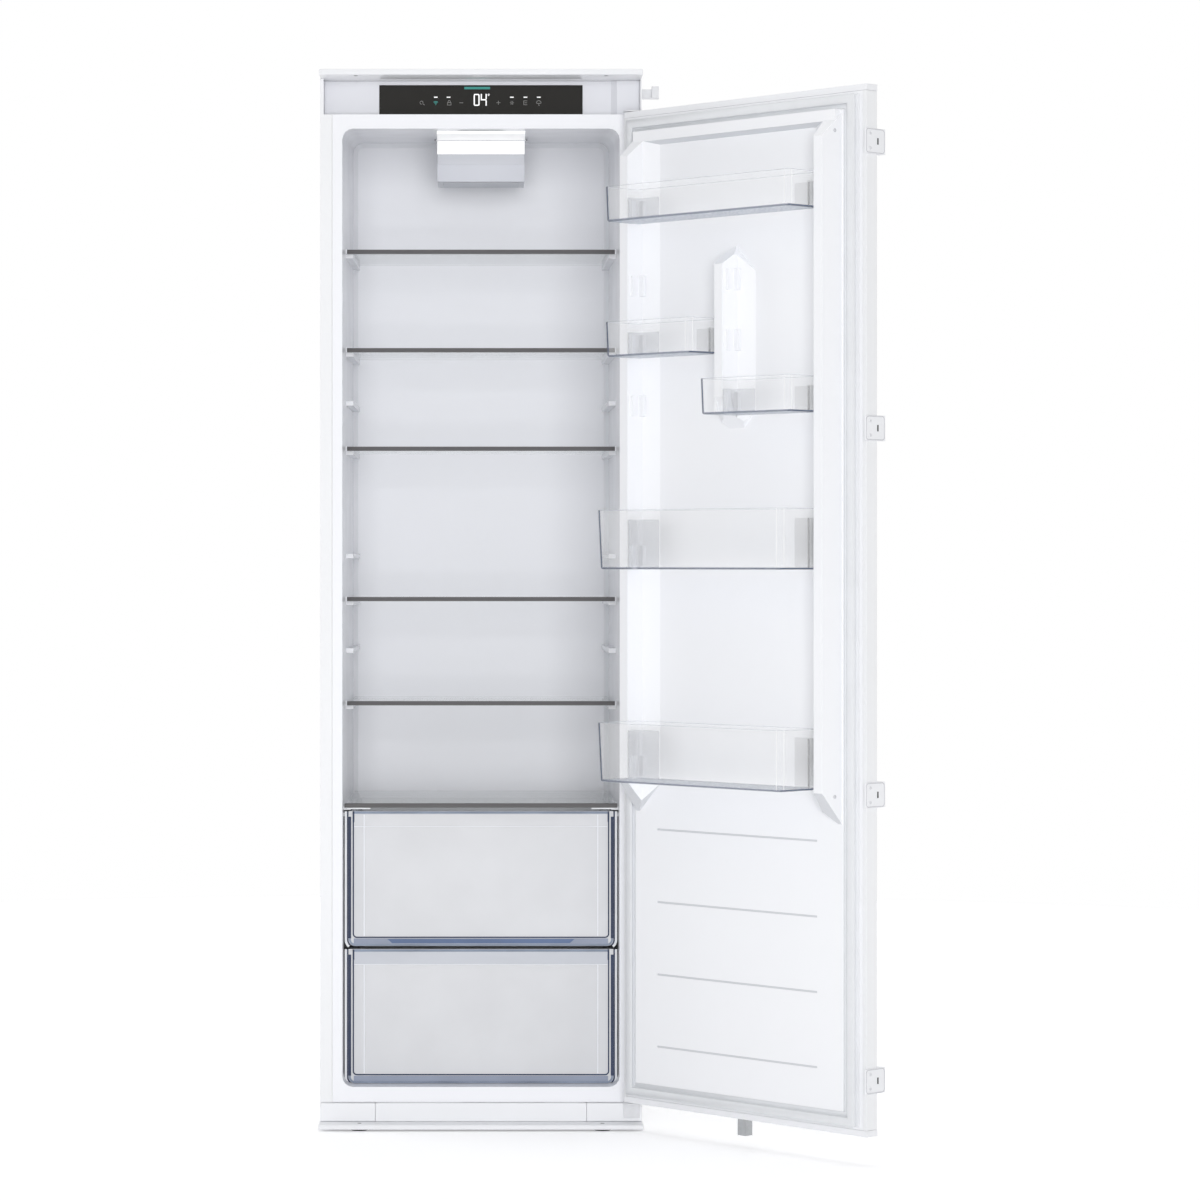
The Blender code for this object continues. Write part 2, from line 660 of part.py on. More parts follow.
def make_evaporator():
    """The cold plate that lies flat behind the liner's back wall."""
    half = EVAPORATOR_WIDTH / 2
    front = evaporator_front_y()
    box("evaporator_plate", (-half, front, EVAPORATOR_BOTTOM_Z),
        (half, front + EVAPORATOR_THICKNESS, EVAPORATOR_TOP_Z), ALUMINIUM)


def make_top_ledge():
    """The strip that closes the niche above the furniture front."""
    box("top_ledge", (-HALF_WIDTH, -LEDGE_REACH, LEDGE_BOTTOM_Z),
        (HALF_WIDTH, CONTROL_DEPTH, LEDGE_TOP_Z), WHITE_PLASTIC, bevel=LEDGE_BEVEL)


def make_control_housing():
    """The moulding round the display, with the raised hinge cover on the right."""
    left, right = -HALF_WIDTH + SIDE_STRIP + GAP, HALF_WIDTH - HINGE_COVER_EDGE
    step_x = right - HINGE_COVER_WIDTH
    front, raised = HOUSING_FRONT_Y, HOUSING_FRONT_Y - COVER_STEP
    back = CONTROL_DEPTH - GAP
    outline = [(left, front), (step_x - COVER_STEP, front), (step_x, raised), (right, raised),
               (right, back), (left, back)]
    top_z = CABINET_TOP_Z
    housing = prism("control_housing", outline, HOUSING_BOTTOM_Z, top_z, "Z", WHITE_PLASTIC)
    hollow = inset(outline, HOUSING_WALL)
    hollow[-2:] = [(right - HOUSING_WALL, back + OVERRUN), (left + HOUSING_WALL, back + OVERRUN)]
    cut(housing, prism("housing_hollow", hollow, HOUSING_BOTTOM_Z + HOUSING_WALL,
                       top_z - HOUSING_WALL, "Z", WHITE_PLASTIC))
    reach = DISPLAY_WIDTH / 2 + GAP
    low = HOUSING_BOTTOM_Z + DISPLAY_LIFT - GAP
    cut(housing, box("display_pocket", (-reach, front - OVERRUN, low),
                     (reach, front + DISPLAY_THICKNESS + GAP,
                      low + DISPLAY_HEIGHT + 2 * GAP), WHITE_PLASTIC))


def make_display():
    """The dark display panel, seated in the housing's pocket, and the board behind it."""
    half = DISPLAY_WIDTH / 2
    low = HOUSING_BOTTOM_Z + DISPLAY_LIFT
    box("display_panel", (-half, HOUSING_FRONT_Y, low),
        (half, HOUSING_FRONT_Y + DISPLAY_THICKNESS, low + DISPLAY_HEIGHT), DARK_DISPLAY)
    board_y = HOUSING_FRONT_Y + HOUSING_WALL + GAP
    board_low = (HOUSING_BOTTOM_Z + CABINET_TOP_Z - BOARD_HEIGHT) / 2
    box("control_board", (-BOARD_WIDTH / 2, board_y, board_low),
        (BOARD_WIDTH / 2, board_y + BOARD_THICKNESS, board_low + BOARD_HEIGHT), CIRCUIT_BOARD)


def make_lamp():
    """The lit cover: a sheet along the ceiling that turns down in front of the unit."""
    half = UNIT_HALF_WIDTH
    back_y = UNIT_FRONT_Y - GAP
    inner_y = back_y - LAMP_THICKNESS
    top = [(LAMP_FRONT_Y, ceiling_z(LAMP_FRONT_Y) - LAMP_CEILING_GAP),
           (back_y, ceiling_z(back_y) - LAMP_CEILING_GAP)]
    outline = [top[0], top[1], (back_y, LAMP_BOTTOM_Z), (inner_y, LAMP_BOTTOM_Z),
               (inner_y, ceiling_z(inner_y) - LAMP_CEILING_GAP - LAMP_THICKNESS),
               (LAMP_FRONT_Y, top[0][1] - LAMP_THICKNESS)]
    prism("lamp_diffuser", outline, -half, half, "X", LAMP_PLASTIC)
    low_gap = LAMP_CEILING_GAP - GAP
    high_gap = low_gap - BOARD_THICKNESS
    back = LED_BOARD_FRONT_Y + LED_BOARD_LENGTH
    board = [(LED_BOARD_FRONT_Y, ceiling_z(LED_BOARD_FRONT_Y) - low_gap),
             (back, ceiling_z(back) - low_gap), (back, ceiling_z(back) - high_gap),
             (LED_BOARD_FRONT_Y, ceiling_z(LED_BOARD_FRONT_Y) - high_gap)]
    prism("led_board", board, -half / 2, half / 2, "X", CIRCUIT_BOARD)


def make_airflow_unit():
    """The fan's box under the ceiling, open at the back, with the motor on its cross arm."""
    half = UNIT_HALF_WIDTH
    outline = [(UNIT_FRONT_Y, UNIT_BOTTOM_Z), (UNIT_BACK_Y, UNIT_BOTTOM_Z),
               (UNIT_BACK_Y, ceiling_z(UNIT_BACK_Y) - GAP),
               (UNIT_FRONT_Y, ceiling_z(UNIT_FRONT_Y) - GAP)]
    housing = prism("airflow_housing", outline, -half, half, "X", LINER_PLASTIC)
    hollow = inset(outline, UNIT_WALL)
    hollow[1] = (UNIT_BACK_Y + OVERRUN, hollow[1][1])
    hollow[2] = (UNIT_BACK_Y + OVERRUN, hollow[2][1])
    cut(housing, prism("unit_hollow", hollow, -half + UNIT_WALL, half - UNIT_WALL, "X",
                       LINER_PLASTIC))
    motor = cylinder("fan_motor", MOTOR_RADIUS, (0.0, MOTOR_FRONT_Y, FAN_CENTRE_Z), MOTOR_DEPTH,
                     BLACK_PLASTIC, axis="Y")
    reach = half - UNIT_WALL - GAP
    arm_y = MOTOR_FRONT_Y + MOTOR_DEPTH / 2
    join(motor, box("motor_arm",
                    (-reach, arm_y - MOTOR_ARM_DEPTH / 2, FAN_CENTRE_Z - MOTOR_ARM_HEIGHT / 2),
                    (reach, arm_y + MOTOR_ARM_DEPTH / 2, FAN_CENTRE_Z + MOTOR_ARM_HEIGHT / 2),
                    BLACK_PLASTIC))


def make_fan_rotor():
    """A hub with pitched blades that turns in front of its motor."""
    axis_point = (0.0, MOTOR_FRONT_Y - GAP - FAN_DEPTH, FAN_CENTRE_Z)
    rotor = cylinder("fan_rotor", FAN_HUB_RADIUS, axis_point, FAN_DEPTH, WHITE_PLASTIC, axis="Y")
    middle_y = axis_point[1] + FAN_DEPTH / 2
    span = FAN_RADIUS - FAN_HUB_RADIUS / 2
    for k in range(FAN_BLADES):
        angle = 2 * math.pi * k / FAN_BLADES
        blade = box("fan_blade", (-FAN_DEPTH / 2, -FAN_BLADE_THICKNESS / 2, -span / 2),
                    (FAN_DEPTH / 2, FAN_BLADE_THICKNESS / 2, span / 2), WHITE_PLASTIC)
        reach = FAN_RADIUS - span / 2
        blade.location = (reach * math.sin(angle), middle_y, FAN_CENTRE_Z + reach * math.cos(angle))
        blade.rotation_euler = (0.0, angle, 0.0)
        blade.rotation_mode = "ZYX"
        blade.rotation_euler.z = math.radians(FAN_PITCH_DEGREES)
        join(rotor, blade)


def trim_profile(front_y, centre_z):
    """The metal channel on a glass edge, as a (y, z) outline."""
    half, slot = TRIM_HEIGHT / 2, GLASS / 2 + GAP
    back, web = front_y + TRIM_DEPTH, front_y + TRIM_WEB
    return [(front_y, centre_z - half), (back, centre_z - half), (back, centre_z - slot),
            (web, centre_z - slot), (web, centre_z + slot), (back, centre_z + slot),
            (back, centre_z + half), (front_y, centre_z + half)]


def make_glass_shelf(glass_name, trim_name, front_y, centre_z):
    """A glass plate whose front edge sits in a metal channel."""
    half = wall_x(front_y) - TRIM_SIDE_GAP
    back_y = LINER_DEPTH - SHELF_BACK_GAP
    glass_half = min(half, wall_x(back_y) - TRIM_SIDE_GAP)
    box(glass_name, (-glass_half, front_y + TRIM_WEB + GAP, centre_z - GLASS / 2),
        (glass_half, back_y, centre_z + GLASS / 2), CLEAR_GLASS)
    prism(trim_name, trim_profile(front_y, centre_z), -half, half, "X", DARK_TRIM)


def make_shelves():
    for k, centre_z in enumerate(SHELF_CENTRES_Z, start=1):
        make_glass_shelf(f"shelf_{k}_glass", f"shelf_{k}_trim", SHELF_FRONT_Y, centre_z)
    make_glass_shelf("crisper_cover_glass", "crisper_cover_trim", COVER_FRONT_Y, COVER_CENTRE_Z)


def drawer_top_z():
    return COVER_CENTRE_Z - TRIM_HEIGHT / 2 - DRAWER_COVER_GAP


def flange_bottom_z():
    return drawer_top_z() - DRAWER_FLANGE_THICKNESS


def make_drawer(name, low_z, top_z, back_y):
    """A clear bin that hangs by its side flanges, with a wider front plate."""
    wide = wall_x(DRAWER_FRONT_Y) - DRAWER_SIDE_GAP
    half = wide - DRAWER_FLANGE
    front_y = DRAWER_FRONT_Y + DRAWER_FRONT_PLATE / 2

    def ring(z, shrink, radius):
        outline = rectangle(-half + shrink, half - shrink, front_y, back_y - shrink)
        return [(x, y, z) for x, y in rounded(outline, radius)]

    chamfer = DRAWER_RADIUS / 2
    drawer = loft(name, [ring(low_z, DRAWER_DRAFT + chamfer, DRAWER_RADIUS - chamfer / 2),
                         ring(low_z + chamfer, DRAWER_DRAFT, DRAWER_RADIUS),
                         ring(top_z, 0.0, DRAWER_RADIUS)], CLEAR_PLASTIC)
    plate = rectangle(-wide, wide, low_z, top_z)
    radii = [DRAWER_FRONT_RADIUS, DRAWER_FRONT_RADIUS, 0.0, 0.0]
    join(drawer, prism(name + "_front", rounded(plate, radii), DRAWER_FRONT_Y,
                       DRAWER_FRONT_Y + DRAWER_FRONT_PLATE, "Y", CLEAR_PLASTIC))
    join(drawer, box(name + "_flange", (-wide, DRAWER_FRONT_Y + DRAWER_FRONT_PLATE / 2,
                                        top_z - DRAWER_FLANGE_THICKNESS),
                     (wide, back_y - DRAWER_FLANGE, top_z), CLEAR_PLASTIC))

    def hollow(z, shrink):
        outline = rectangle(-half + shrink, half - shrink,
                            DRAWER_FRONT_Y + DRAWER_FRONT_PLATE + DRAWER_WALL, back_y - shrink)
        return [(x, y, z) for x, y in rounded(outline, DRAWER_RADIUS - DRAWER_WALL)]

    cut(drawer, loft(name + "_hollow",
                     [hollow(low_z + DRAWER_WALL, DRAWER_DRAFT + DRAWER_WALL + chamfer / 2),
                      hollow(low_z + DRAWER_WALL + chamfer, DRAWER_DRAFT + DRAWER_WALL),
                      hollow(top_z + OVERRUN, DRAWER_WALL)], CLEAR_PLASTIC))


def make_drawers():
    top_z = drawer_top_z()
    make_drawer("drawer_upper", DRAWER_SPLIT_Z + DRAWER_SPLIT_GAP / 2, top_z,
                LINER_DEPTH - DRAWER_BACK_GAP)
    make_drawer("drawer_lower", OPENING_BOTTOM_Z + GAP, DRAWER_SPLIT_Z - DRAWER_SPLIT_GAP / 2,
                HUMP_FRONT_Y - DRAWER_HUMP_GAP)


def foot_places():
    """The two front feet, as a side and a centre in plan."""
    x = HALF_WIDTH - FOOT_FROM_SIDE
    y = -LIP_REACH + FOOT_FROM_LIP
    return (("left", -x, y), ("right", x, y))


def make_base():
    """Front lip, plinth panel, side rails with rear pads, tray and two screw feet."""
    lip_half = HALF_WIDTH + LIP_OVERHANG
    lip = box("base_lip", (-lip_half, -LIP_REACH, 0.0), (lip_half, LIP_BACK_Y, LIP_HEIGHT),
              WHITE_PLASTIC, bevel=LIP_BEVEL)
    for label, x, y in foot_places():
        cut(lip, cylinder("foot_hole", FOOT_STEM_RADIUS + FOOT_STEM_CLEARANCE,
                          (x, y, -OVERRUN), LIP_HEIGHT + 2 * OVERRUN, WHITE_PLASTIC))
        foot = cylinder("front_foot_" + label, FOOT_RADIUS, (x, y, -GAP - FOOT_DISC_HEIGHT),
                        FOOT_DISC_HEIGHT, BLACK_PLASTIC)
        join(foot, cylinder("foot_stem", FOOT_STEM_RADIUS, (x, y, -GAP - FOOT_DISC_HEIGHT / 2),
                            LIP_HEIGHT + FOOT_DISC_HEIGHT / 2, GREY_STEEL))
    rail_top = CABINET_BOTTOM_Z - GAP
    rail_front = LIP_BACK_Y + GAP
    inner_x = HALF_WIDTH - BASE_RAIL_WIDTH
    for side, label in ((-1, "left"), (1, "right")):
        across = sorted((side * inner_x, side * (HALF_WIDTH - GAP)))
        rail = box("base_rail_" + label, (across[0], rail_front, 0.0),
                   (across[1], BASE_BACK_Y, rail_top), WHITE_PLASTIC)
        join(rail, box("rail_front", (across[0], PLINTH_FACE_Y, LIP_HEIGHT + GAP),
                       (across[1], rail_front + OVERRUN, rail_top), WHITE_PLASTIC))
        middle = (across[0] + across[1]) / 2
        pad_y = BASE_BACK_Y - REAR_PAD_FROM_BACK
        join(rail, box("rear_pad", (middle - REAR_PAD_WIDTH / 2, pad_y,
                                    -GAP - FOOT_DISC_HEIGHT),
                       (middle + REAR_PAD_WIDTH / 2, pad_y + REAR_PAD_LENGTH, OVERRUN),
                       WHITE_PLASTIC))
    reach = inner_x - GAP
    box("plinth_panel", (-reach, PLINTH_FACE_Y, LIP_HEIGHT + GAP),
        (reach, PLINTH_FACE_Y + PLINTH_THICKNESS, rail_top), WHITE_PLASTIC)
    box("base_tray", (-reach, rail_front, 0.0), (reach, BASE_BACK_Y, TRAY_THICKNESS), GREY_STEEL)


def make_compressor():
    """A welded pot on a mount plate with four feet, and the relay cover at its side."""
    base_z = TRAY_THICKNESS + GAP
    pot_z = base_z + COMPRESSOR_LIFT
    rim_z = pot_z + COMPRESSOR_RIM_SHARE * COMPRESSOR_HEIGHT
    rim_top = rim_z + COMPRESSOR_RIM_HEIGHT
    outer = COMPRESSOR_RADIUS + COMPRESSOR_RIM
    wall = [(COMPRESSOR_RADIUS * across, pot_z + COMPRESSOR_HEIGHT * up)
            for across, up in COMPRESSOR_SHAPE_SHARES]
    profile = [(0.0, pot_z + COMPRESSOR_HEIGHT)]
    profile += [point for point in wall if point[1] > rim_top]
    profile += [(COMPRESSOR_RADIUS, rim_top), (outer, rim_top), (outer, rim_z),
                (COMPRESSOR_RADIUS, rim_z)]
    profile += [point for point in wall if point[1] < rim_z]
    profile.append((0.0, pot_z))
    compressor = turned("compressor", profile, (COMPRESSOR_X, COMPRESSOR_Y), BLACK_STEEL)
    reach = MOUNT_PLATE_SIDE / 2
    join(compressor, box("mount_plate", (COMPRESSOR_X - reach, COMPRESSOR_Y - reach / 2,
                                         pot_z - MOUNT_PLATE_THICKNESS / 2),
                         (COMPRESSOR_X + reach, COMPRESSOR_Y + reach / 2,
                          pot_z + MOUNT_PLATE_THICKNESS / 2), BLACK_STEEL))
    for side_x in (-1, 1):
        for side_y in (-1, 1):
            x = COMPRESSOR_X + side_x * (reach - MOUNT_FOOT_RADIUS)
            y = COMPRESSOR_Y + side_y * (reach / 2 - MOUNT_FOOT_RADIUS)
            join(compressor, cylinder("mount_foot", MOUNT_FOOT_RADIUS, (x, y, base_z),
                                      COMPRESSOR_LIFT, BLACK_STEEL, segments=12))
    relay_x = COMPRESSOR_X + outer + GAP
    relay_z = (rim_z + rim_top - RELAY_HEIGHT) / 2
    box("relay_cover", (relay_x, COMPRESSOR_Y - RELAY_DEPTH / 2, relay_z),
        (relay_x + RELAY_WIDTH, COMPRESSOR_Y + RELAY_DEPTH / 2, relay_z + RELAY_HEIGHT),
        BLACK_PLASTIC, bevel=LEDGE_BEVEL)


def turned(name, profile, centre, finish):
    """A profile of (radius, z) points, top to bottom, turned round a vertical axis."""
    shape = bmesh.new()
    points = [shape.verts.new((radius, 0.0, z)) for radius, z in profile]
    for first, second in zip(points, points[1:]):
        shape.edges.new((first, second))
    mesh = bpy.data.meshes.new(name)
    shape.to_mesh(mesh)
    shape.free()
    made = mesh_object(name, mesh, finish, None, (*centre, 0.0))
    screw = made.modifiers.new("turn", "SCREW")
    screw.steps = COMPRESSOR_SEGMENTS
    screw.render_steps = COMPRESSOR_SEGMENTS
    screw.use_merge_vertices = True
    screw.merge_threshold = WELD
    return made


def solid_tube(name, points, radius, finish, resolution):
    """A tube along points, as a mesh with welded caps so that it can be joined."""
    curve = bpy.data.curves.new(name, "CURVE")
    curve.dimensions = "3D"
    curve.bevel_depth = radius
    curve.bevel_resolution = resolution
    curve.use_fill_caps = True
    spline = curve.splines.new("POLY")
    spline.points.add(len(points) - 1)
    for point, place in zip(spline.points, points):
        point.co = (*place, 1.0)
    return mesh_object(name, finish_mesh(name, mesh_from_curve(curve)), finish)


def make_condenser():
    """A tube that runs back and forth over the rear panel on two upright rails."""
    tube_y = CABINET_DEPTH + CONDENSER_STANDOFF
    pitch = (CONDENSER_TOP_Z - CONDENSER_BOTTOM_Z) / (CONDENSER_RUNS - 1)
    bend = pitch / 2
    points = []
    for run in range(CONDENSER_RUNS):
        side = -1 if run % 2 else 1
        z = CONDENSER_BOTTOM_Z + run * pitch
        points.append((-side * (CONDENSER_HALF_WIDTH - bend), tube_y, z))
        points.append((side * (CONDENSER_HALF_WIDTH - bend), tube_y, z))
        if run == CONDENSER_RUNS - 1:
            break
        for step in range(1, BEND_STEPS):
            angle = math.pi * step / BEND_STEPS
            points.append((side * (CONDENSER_HALF_WIDTH - bend + bend * math.sin(angle)), tube_y,
                           z + bend - bend * math.cos(angle)))
    condenser = solid_tube("condenser", points, CONDENSER_TUBE_RADIUS, BLACK_STEEL, 1)
    for side in (-1, 1):
        x = side * CONDENSER_RAIL_X
        join(condenser, box("condenser_rail",
                            (x - CONDENSER_RAIL_WIDTH / 2, CABINET_DEPTH + GAP,
                             CONDENSER_BOTTOM_Z - pitch / 4),
                            (x + CONDENSER_RAIL_WIDTH / 2, tube_y,
                             CONDENSER_TOP_Z + pitch / 4), BLACK_STEEL))


def make_gland():
    """The bush where a mains lead would enter, on the rear panel beside the niche."""
    cylinder("cable_gland", GLAND_RADIUS, (GLAND_X, CABINET_DEPTH + GAP, GLAND_Z), GLAND_LENGTH,
             BLACK_PLASTIC, axis="Y")


def make_fixing_bracket():
    """The steel angle on the hinge side that is screwed to the kitchen niche."""
    low_x, high_x = HALF_WIDTH + GAP, HALF_WIDTH + FIXING_REACH
    back_y = FIXING_FRONT_Y + FIXING_DEPTH
    bracket = box("niche_fixing_bracket", (low_x, back_y - FIXING_SHEET, FIXING_BOTTOM_Z),
                  (high_x, back_y, FIXING_BOTTOM_Z + FIXING_HEIGHT), WHITE_STEEL)
    join(bracket, box("fixing_floor", (low_x, FIXING_FRONT_Y, FIXING_BOTTOM_Z),
                      (high_x, back_y - FIXING_SHEET / 2, FIXING_BOTTOM_Z + FIXING_SHEET),
                      WHITE_STEEL))
    join(bracket, box("fixing_tab", (high_x - FIXING_TAB_WIDTH, FIXING_FRONT_Y + FIXING_SHEET,
                                     FIXING_BOTTOM_Z + FIXING_SHEET / 2),
                      (high_x, back_y - FIXING_SHEET / 2,
                       FIXING_BOTTOM_Z + FIXING_HEIGHT + FIXING_TAB_RISE), WHITE_STEEL))


def hinge_plate_outline(back_y):
    """Plan of a hinge plate: square at the back, round at the nose over the pivot."""
    left, right = PIVOT_X + HINGE_PLATE_NOSE - HINGE_PLATE_WIDTH, PIVOT_X + HINGE_PLATE_NOSE
    right = min(right, HALF_WIDTH - HINGE_COVER_EDGE)
    corners = [(left, back_y), (left, PIVOT_Y - HINGE_PLATE_NOSE),
               (right, PIVOT_Y - HINGE_PLATE_NOSE), (right, back_y)]
    nose = HINGE_PLATE_NOSE - PIN_RADIUS / 2
    return rounded(corners, [0.0, nose, nose, 0.0])


def make_hinges():
    """The two fixed plates with the pins that the door turns on."""
    low = RAIL_TOP_Z + GAP
    upper = prism("upper_hinge_bracket", hinge_plate_outline(HINGE_PLATE_BACK_Y), low,
                  low + HINGE_PLATE, "Z", GREY_STEEL)
    join(upper, cylinder("upper_pin", PIN_RADIUS, (PIVOT_X, PIVOT_Y, DOOR_TOP_Z - PIN_LENGTH),
                         low + HINGE_PLATE / 2 - DOOR_TOP_Z + PIN_LENGTH, GREY_STEEL))
    high = DOOR_BOTTOM_Z - DOOR_TOP_CLEARANCE - GAP
    leg_back = PLINTH_FACE_Y - GAP
    lower = prism("lower_hinge_bracket", hinge_plate_outline(leg_back - HINGE_LOWER_SHEET / 2),
                  high - HINGE_PLATE, high, "Z", GREY_STEEL)
    left = PIVOT_X + HINGE_PLATE_NOSE - HINGE_PLATE_WIDTH + HINGE_LEG_STEP
    right = min(PIVOT_X + HINGE_PLATE_NOSE, HALF_WIDTH - HINGE_COVER_EDGE) - HINGE_LEG_STEP
    join(lower, box("lower_leg", (left, leg_back - HINGE_LOWER_SHEET, high - HINGE_LOWER_DROP),
                    (right, leg_back, high - HINGE_PLATE / 2), GREY_STEEL))
    join(lower, cylinder("lower_pin", PIN_RADIUS, (PIVOT_X, PIVOT_Y, high - HINGE_PLATE / 2),
                         DOOR_BOTTOM_Z + PIN_LENGTH - high + HINGE_PLATE / 2, GREY_STEEL))


DOOR_AXIS = bpy.data.objects.new("door_axis", None)
DOOR_AXIS.location = (PIVOT_X, PIVOT_Y, 0.0)
DOOR_AXIS.rotation_euler = (0.0, 0.0, math.radians(OPEN_DEGREES))
PARTS.objects.link(DOOR_AXIS)


def door_plan(outline):
    """Turn (u, v) points of the shut door into plan points beside the hinge axis."""
    return [(DOOR_WIDTH / 2 - u - PIVOT_X, v - DOOR_STANDOFF - PIVOT_Y) for u, v in outline]


def door_prism(name, outline, low, high, finish):
    """An outline in (u, v) pushed upward; an end may be a function of (u, v)."""
    low_end, high_end = as_function(low), as_function(high)

    def back_to_door(limit):
        return lambda x, y: limit(DOOR_WIDTH / 2 - PIVOT_X - x, y + DOOR_STANDOFF + PIVOT_Y)

    return prism(name, door_plan(outline), back_to_door(low_end), back_to_door(high_end), "Z",
                 finish, DOOR_AXIS)


def door_box(name, low, high, finish, bevel=0.0):
    """A box between two corners given as (u, v, z)."""
    (x0, y0), (x1, y1) = door_plan([(low[0], low[1]), (high[0], high[1])])
    return box(name, (x1, y0, low[2]), (x0, y1, high[2]), finish, DOOR_AXIS, bevel)


def mirrored(outline):
    return [(DOOR_WIDTH - u, v) for u, v in outline]


def leg_outline():
    """Section of the leg beside the hinge edge, in (u, v), rooted inside the plateau."""
    root = PLATEAU_HEIGHT / 2
    top_u = LEG_INSET + LEG_TOP_WIDTH
    break_u = top_u + LEG_BREAK_RUN
    return [(LEG_INSET - LEG_OUTER_DRAFT, root), (LEG_INSET, LEG_HEIGHT), (top_u, LEG_HEIGHT),
            (break_u, LEG_BREAK_HEIGHT), (break_u + LEG_APRON_RUN - LEG_BREAK_RUN, PLATEAU_HEIGHT),
            (break_u + LEG_APRON_RUN - LEG_BREAK_RUN, root)]


def rib_outline():
    """Section of the middle rib, in (u, v): the leg's inner flank on both sides."""
    middle = DOOR_WIDTH / 2
    flank = leg_outline()[2:]
    shift = middle + LEG_TOP_WIDTH / 2 - flank[0][0]
    right = [(u + shift, v) for u, v in flank]
    left = [(2 * middle - u, v) for u, v in reversed(right)]
    return left + right


def slope(first_v, first_z, second_v, second_z):
    """An end face that rises evenly with v."""
    return lambda u, v: first_z + (second_z - first_z) * (v - first_v) / (second_v - first_v)


def end_cutter(label, start_u, start_z, side, rise):
    """Slants an end away from start_u toward one side; rise is 1 for a top and -1 for a foot."""
    far_u = start_u + side * (LEG_TOP_WIDTH + LEG_APRON_RUN + OVERRUN)
    far_z = start_z - rise * abs(far_u - start_u) * END_SLANT_SHARE
    beyond_z = start_z + rise * (LEG_FOOT_RISE + OVERRUN)
    outline = [(DOOR_WIDTH / 2 - PIVOT_X - u, z)
               for u, z in ((start_u, start_z), (far_u, far_z), (far_u, beyond_z),
                            (start_u, beyond_z))]
    front = -DOOR_STANDOFF - PIVOT_Y
    return prism(label, outline, front - OVERRUN, front + LEG_HEIGHT + OVERRUN, "Y",
                 LINER_PLASTIC, DOOR_AXIS)


def door_form(label, shrink):
    """What stands out of the door's inner side, drawn in by shrink on every face."""
    root_v = -LINER_WALL - GAP - OVERRUN / 2
    pieces = [door_prism(label + "_plateau",
                         rectangle(PLATEAU_INSET + shrink, DOOR_WIDTH - PLATEAU_INSET - shrink,
                                   root_v, PLATEAU_HEIGHT - shrink),
                         PLATEAU_BOTTOM_Z + shrink, PLATEAU_TOP_Z - shrink, LINER_PLASTIC)]
    leg_low = slope(PLATEAU_HEIGHT, LEG_FOOT_Z + shrink, LEG_HEIGHT,
                    LEG_FOOT_Z + LEG_FOOT_RISE + shrink)
    leg_high = slope(PLATEAU_HEIGHT / 2, PLATEAU_TOP_Z - LEG_TOP_SETBACK - shrink, LEG_HEIGHT,
                     PLATEAU_TOP_Z - LEG_HEIGHT + PLATEAU_HEIGHT - shrink)
    leg = inset(leg_outline(), shrink) if shrink else leg_outline()
    slant = shrink * math.hypot(1.0, END_SLANT_SHARE)
    foot_u = LEG_INSET + LEG_FOOT_POINT
    for side, legs_name, outline in ((1, "_hinge_leg", leg), (-1, "_free_leg", mirrored(leg))):
        piece = door_prism(label + legs_name, outline, leg_low, leg_high, LINER_PLASTIC)
        start_u = foot_u if side > 0 else DOOR_WIDTH - foot_u
        cut(piece, end_cutter(label + legs_name + "_foot", start_u, LEG_FOOT_Z + slant, side, -1))
        pieces.append(piece)
    rib = inset(rib_outline(), shrink) if shrink else rib_outline()
    rib_low = slope(PLATEAU_HEIGHT, RIB_FOOT_Z + shrink, LEG_HEIGHT,
                    RIB_FOOT_Z + LEG_FOOT_RISE + shrink)
    rib_high = slope(PLATEAU_HEIGHT, RIB_TOP_Z - shrink, LEG_HEIGHT,
                     RIB_TOP_Z - RIB_TOP_DROP - shrink)
    middle_rib = door_prism(label + "_middle_rib", rib, rib_low, rib_high, LINER_PLASTIC)
    for side in (-1, 1):
        cut(middle_rib, end_cutter(label + "_rib_top", DOOR_WIDTH / 2, RIB_TOP_Z - slant, side, 1),
            end_cutter(label + "_rib_foot", DOOR_WIDTH / 2 + side * RIB_FOOT_HALF,
                       RIB_FOOT_Z + slant, side, -1))
    pieces.append(middle_rib)
    bar_low = PLATEAU_TOP_Z - BAR_DEPTH
    low_u, high_u = LEG_INSET + shrink, DOOR_WIDTH - LEG_INSET - shrink
    pieces.append(door_prism(
        label + "_top_bar", rectangle(low_u, high_u, PLATEAU_HEIGHT / 2, BAR_HEIGHT - shrink),
        slope(PLATEAU_HEIGHT, bar_low - BAR_UNDERCUT + shrink, BAR_HEIGHT, bar_low + shrink),
        PLATEAU_TOP_Z - shrink, LINER_PLASTIC))
    return pieces


def lug_rows():
    """Heights of the lugs on the leg and rib flanks that look into the balconies' space."""
    full = [BALCONY_TOP_Z, BALCONY_BOTTLE_Z, BALCONY_LOW_Z]
    half = [BALCONY_LEFT_Z, BALCONY_RIGHT_Z, SPARE_LUG_Z - LUG_FROM_FLOOR]
    return full, half


def flank_u(v):
    """Where the inner flank of the hinge leg stands at a height v above the flange."""
    top_u = LEG_INSET + LEG_TOP_WIDTH
    return top_u + LEG_BREAK_RUN * (LEG_HEIGHT - v) / (LEG_HEIGHT - LEG_BREAK_HEIGHT)


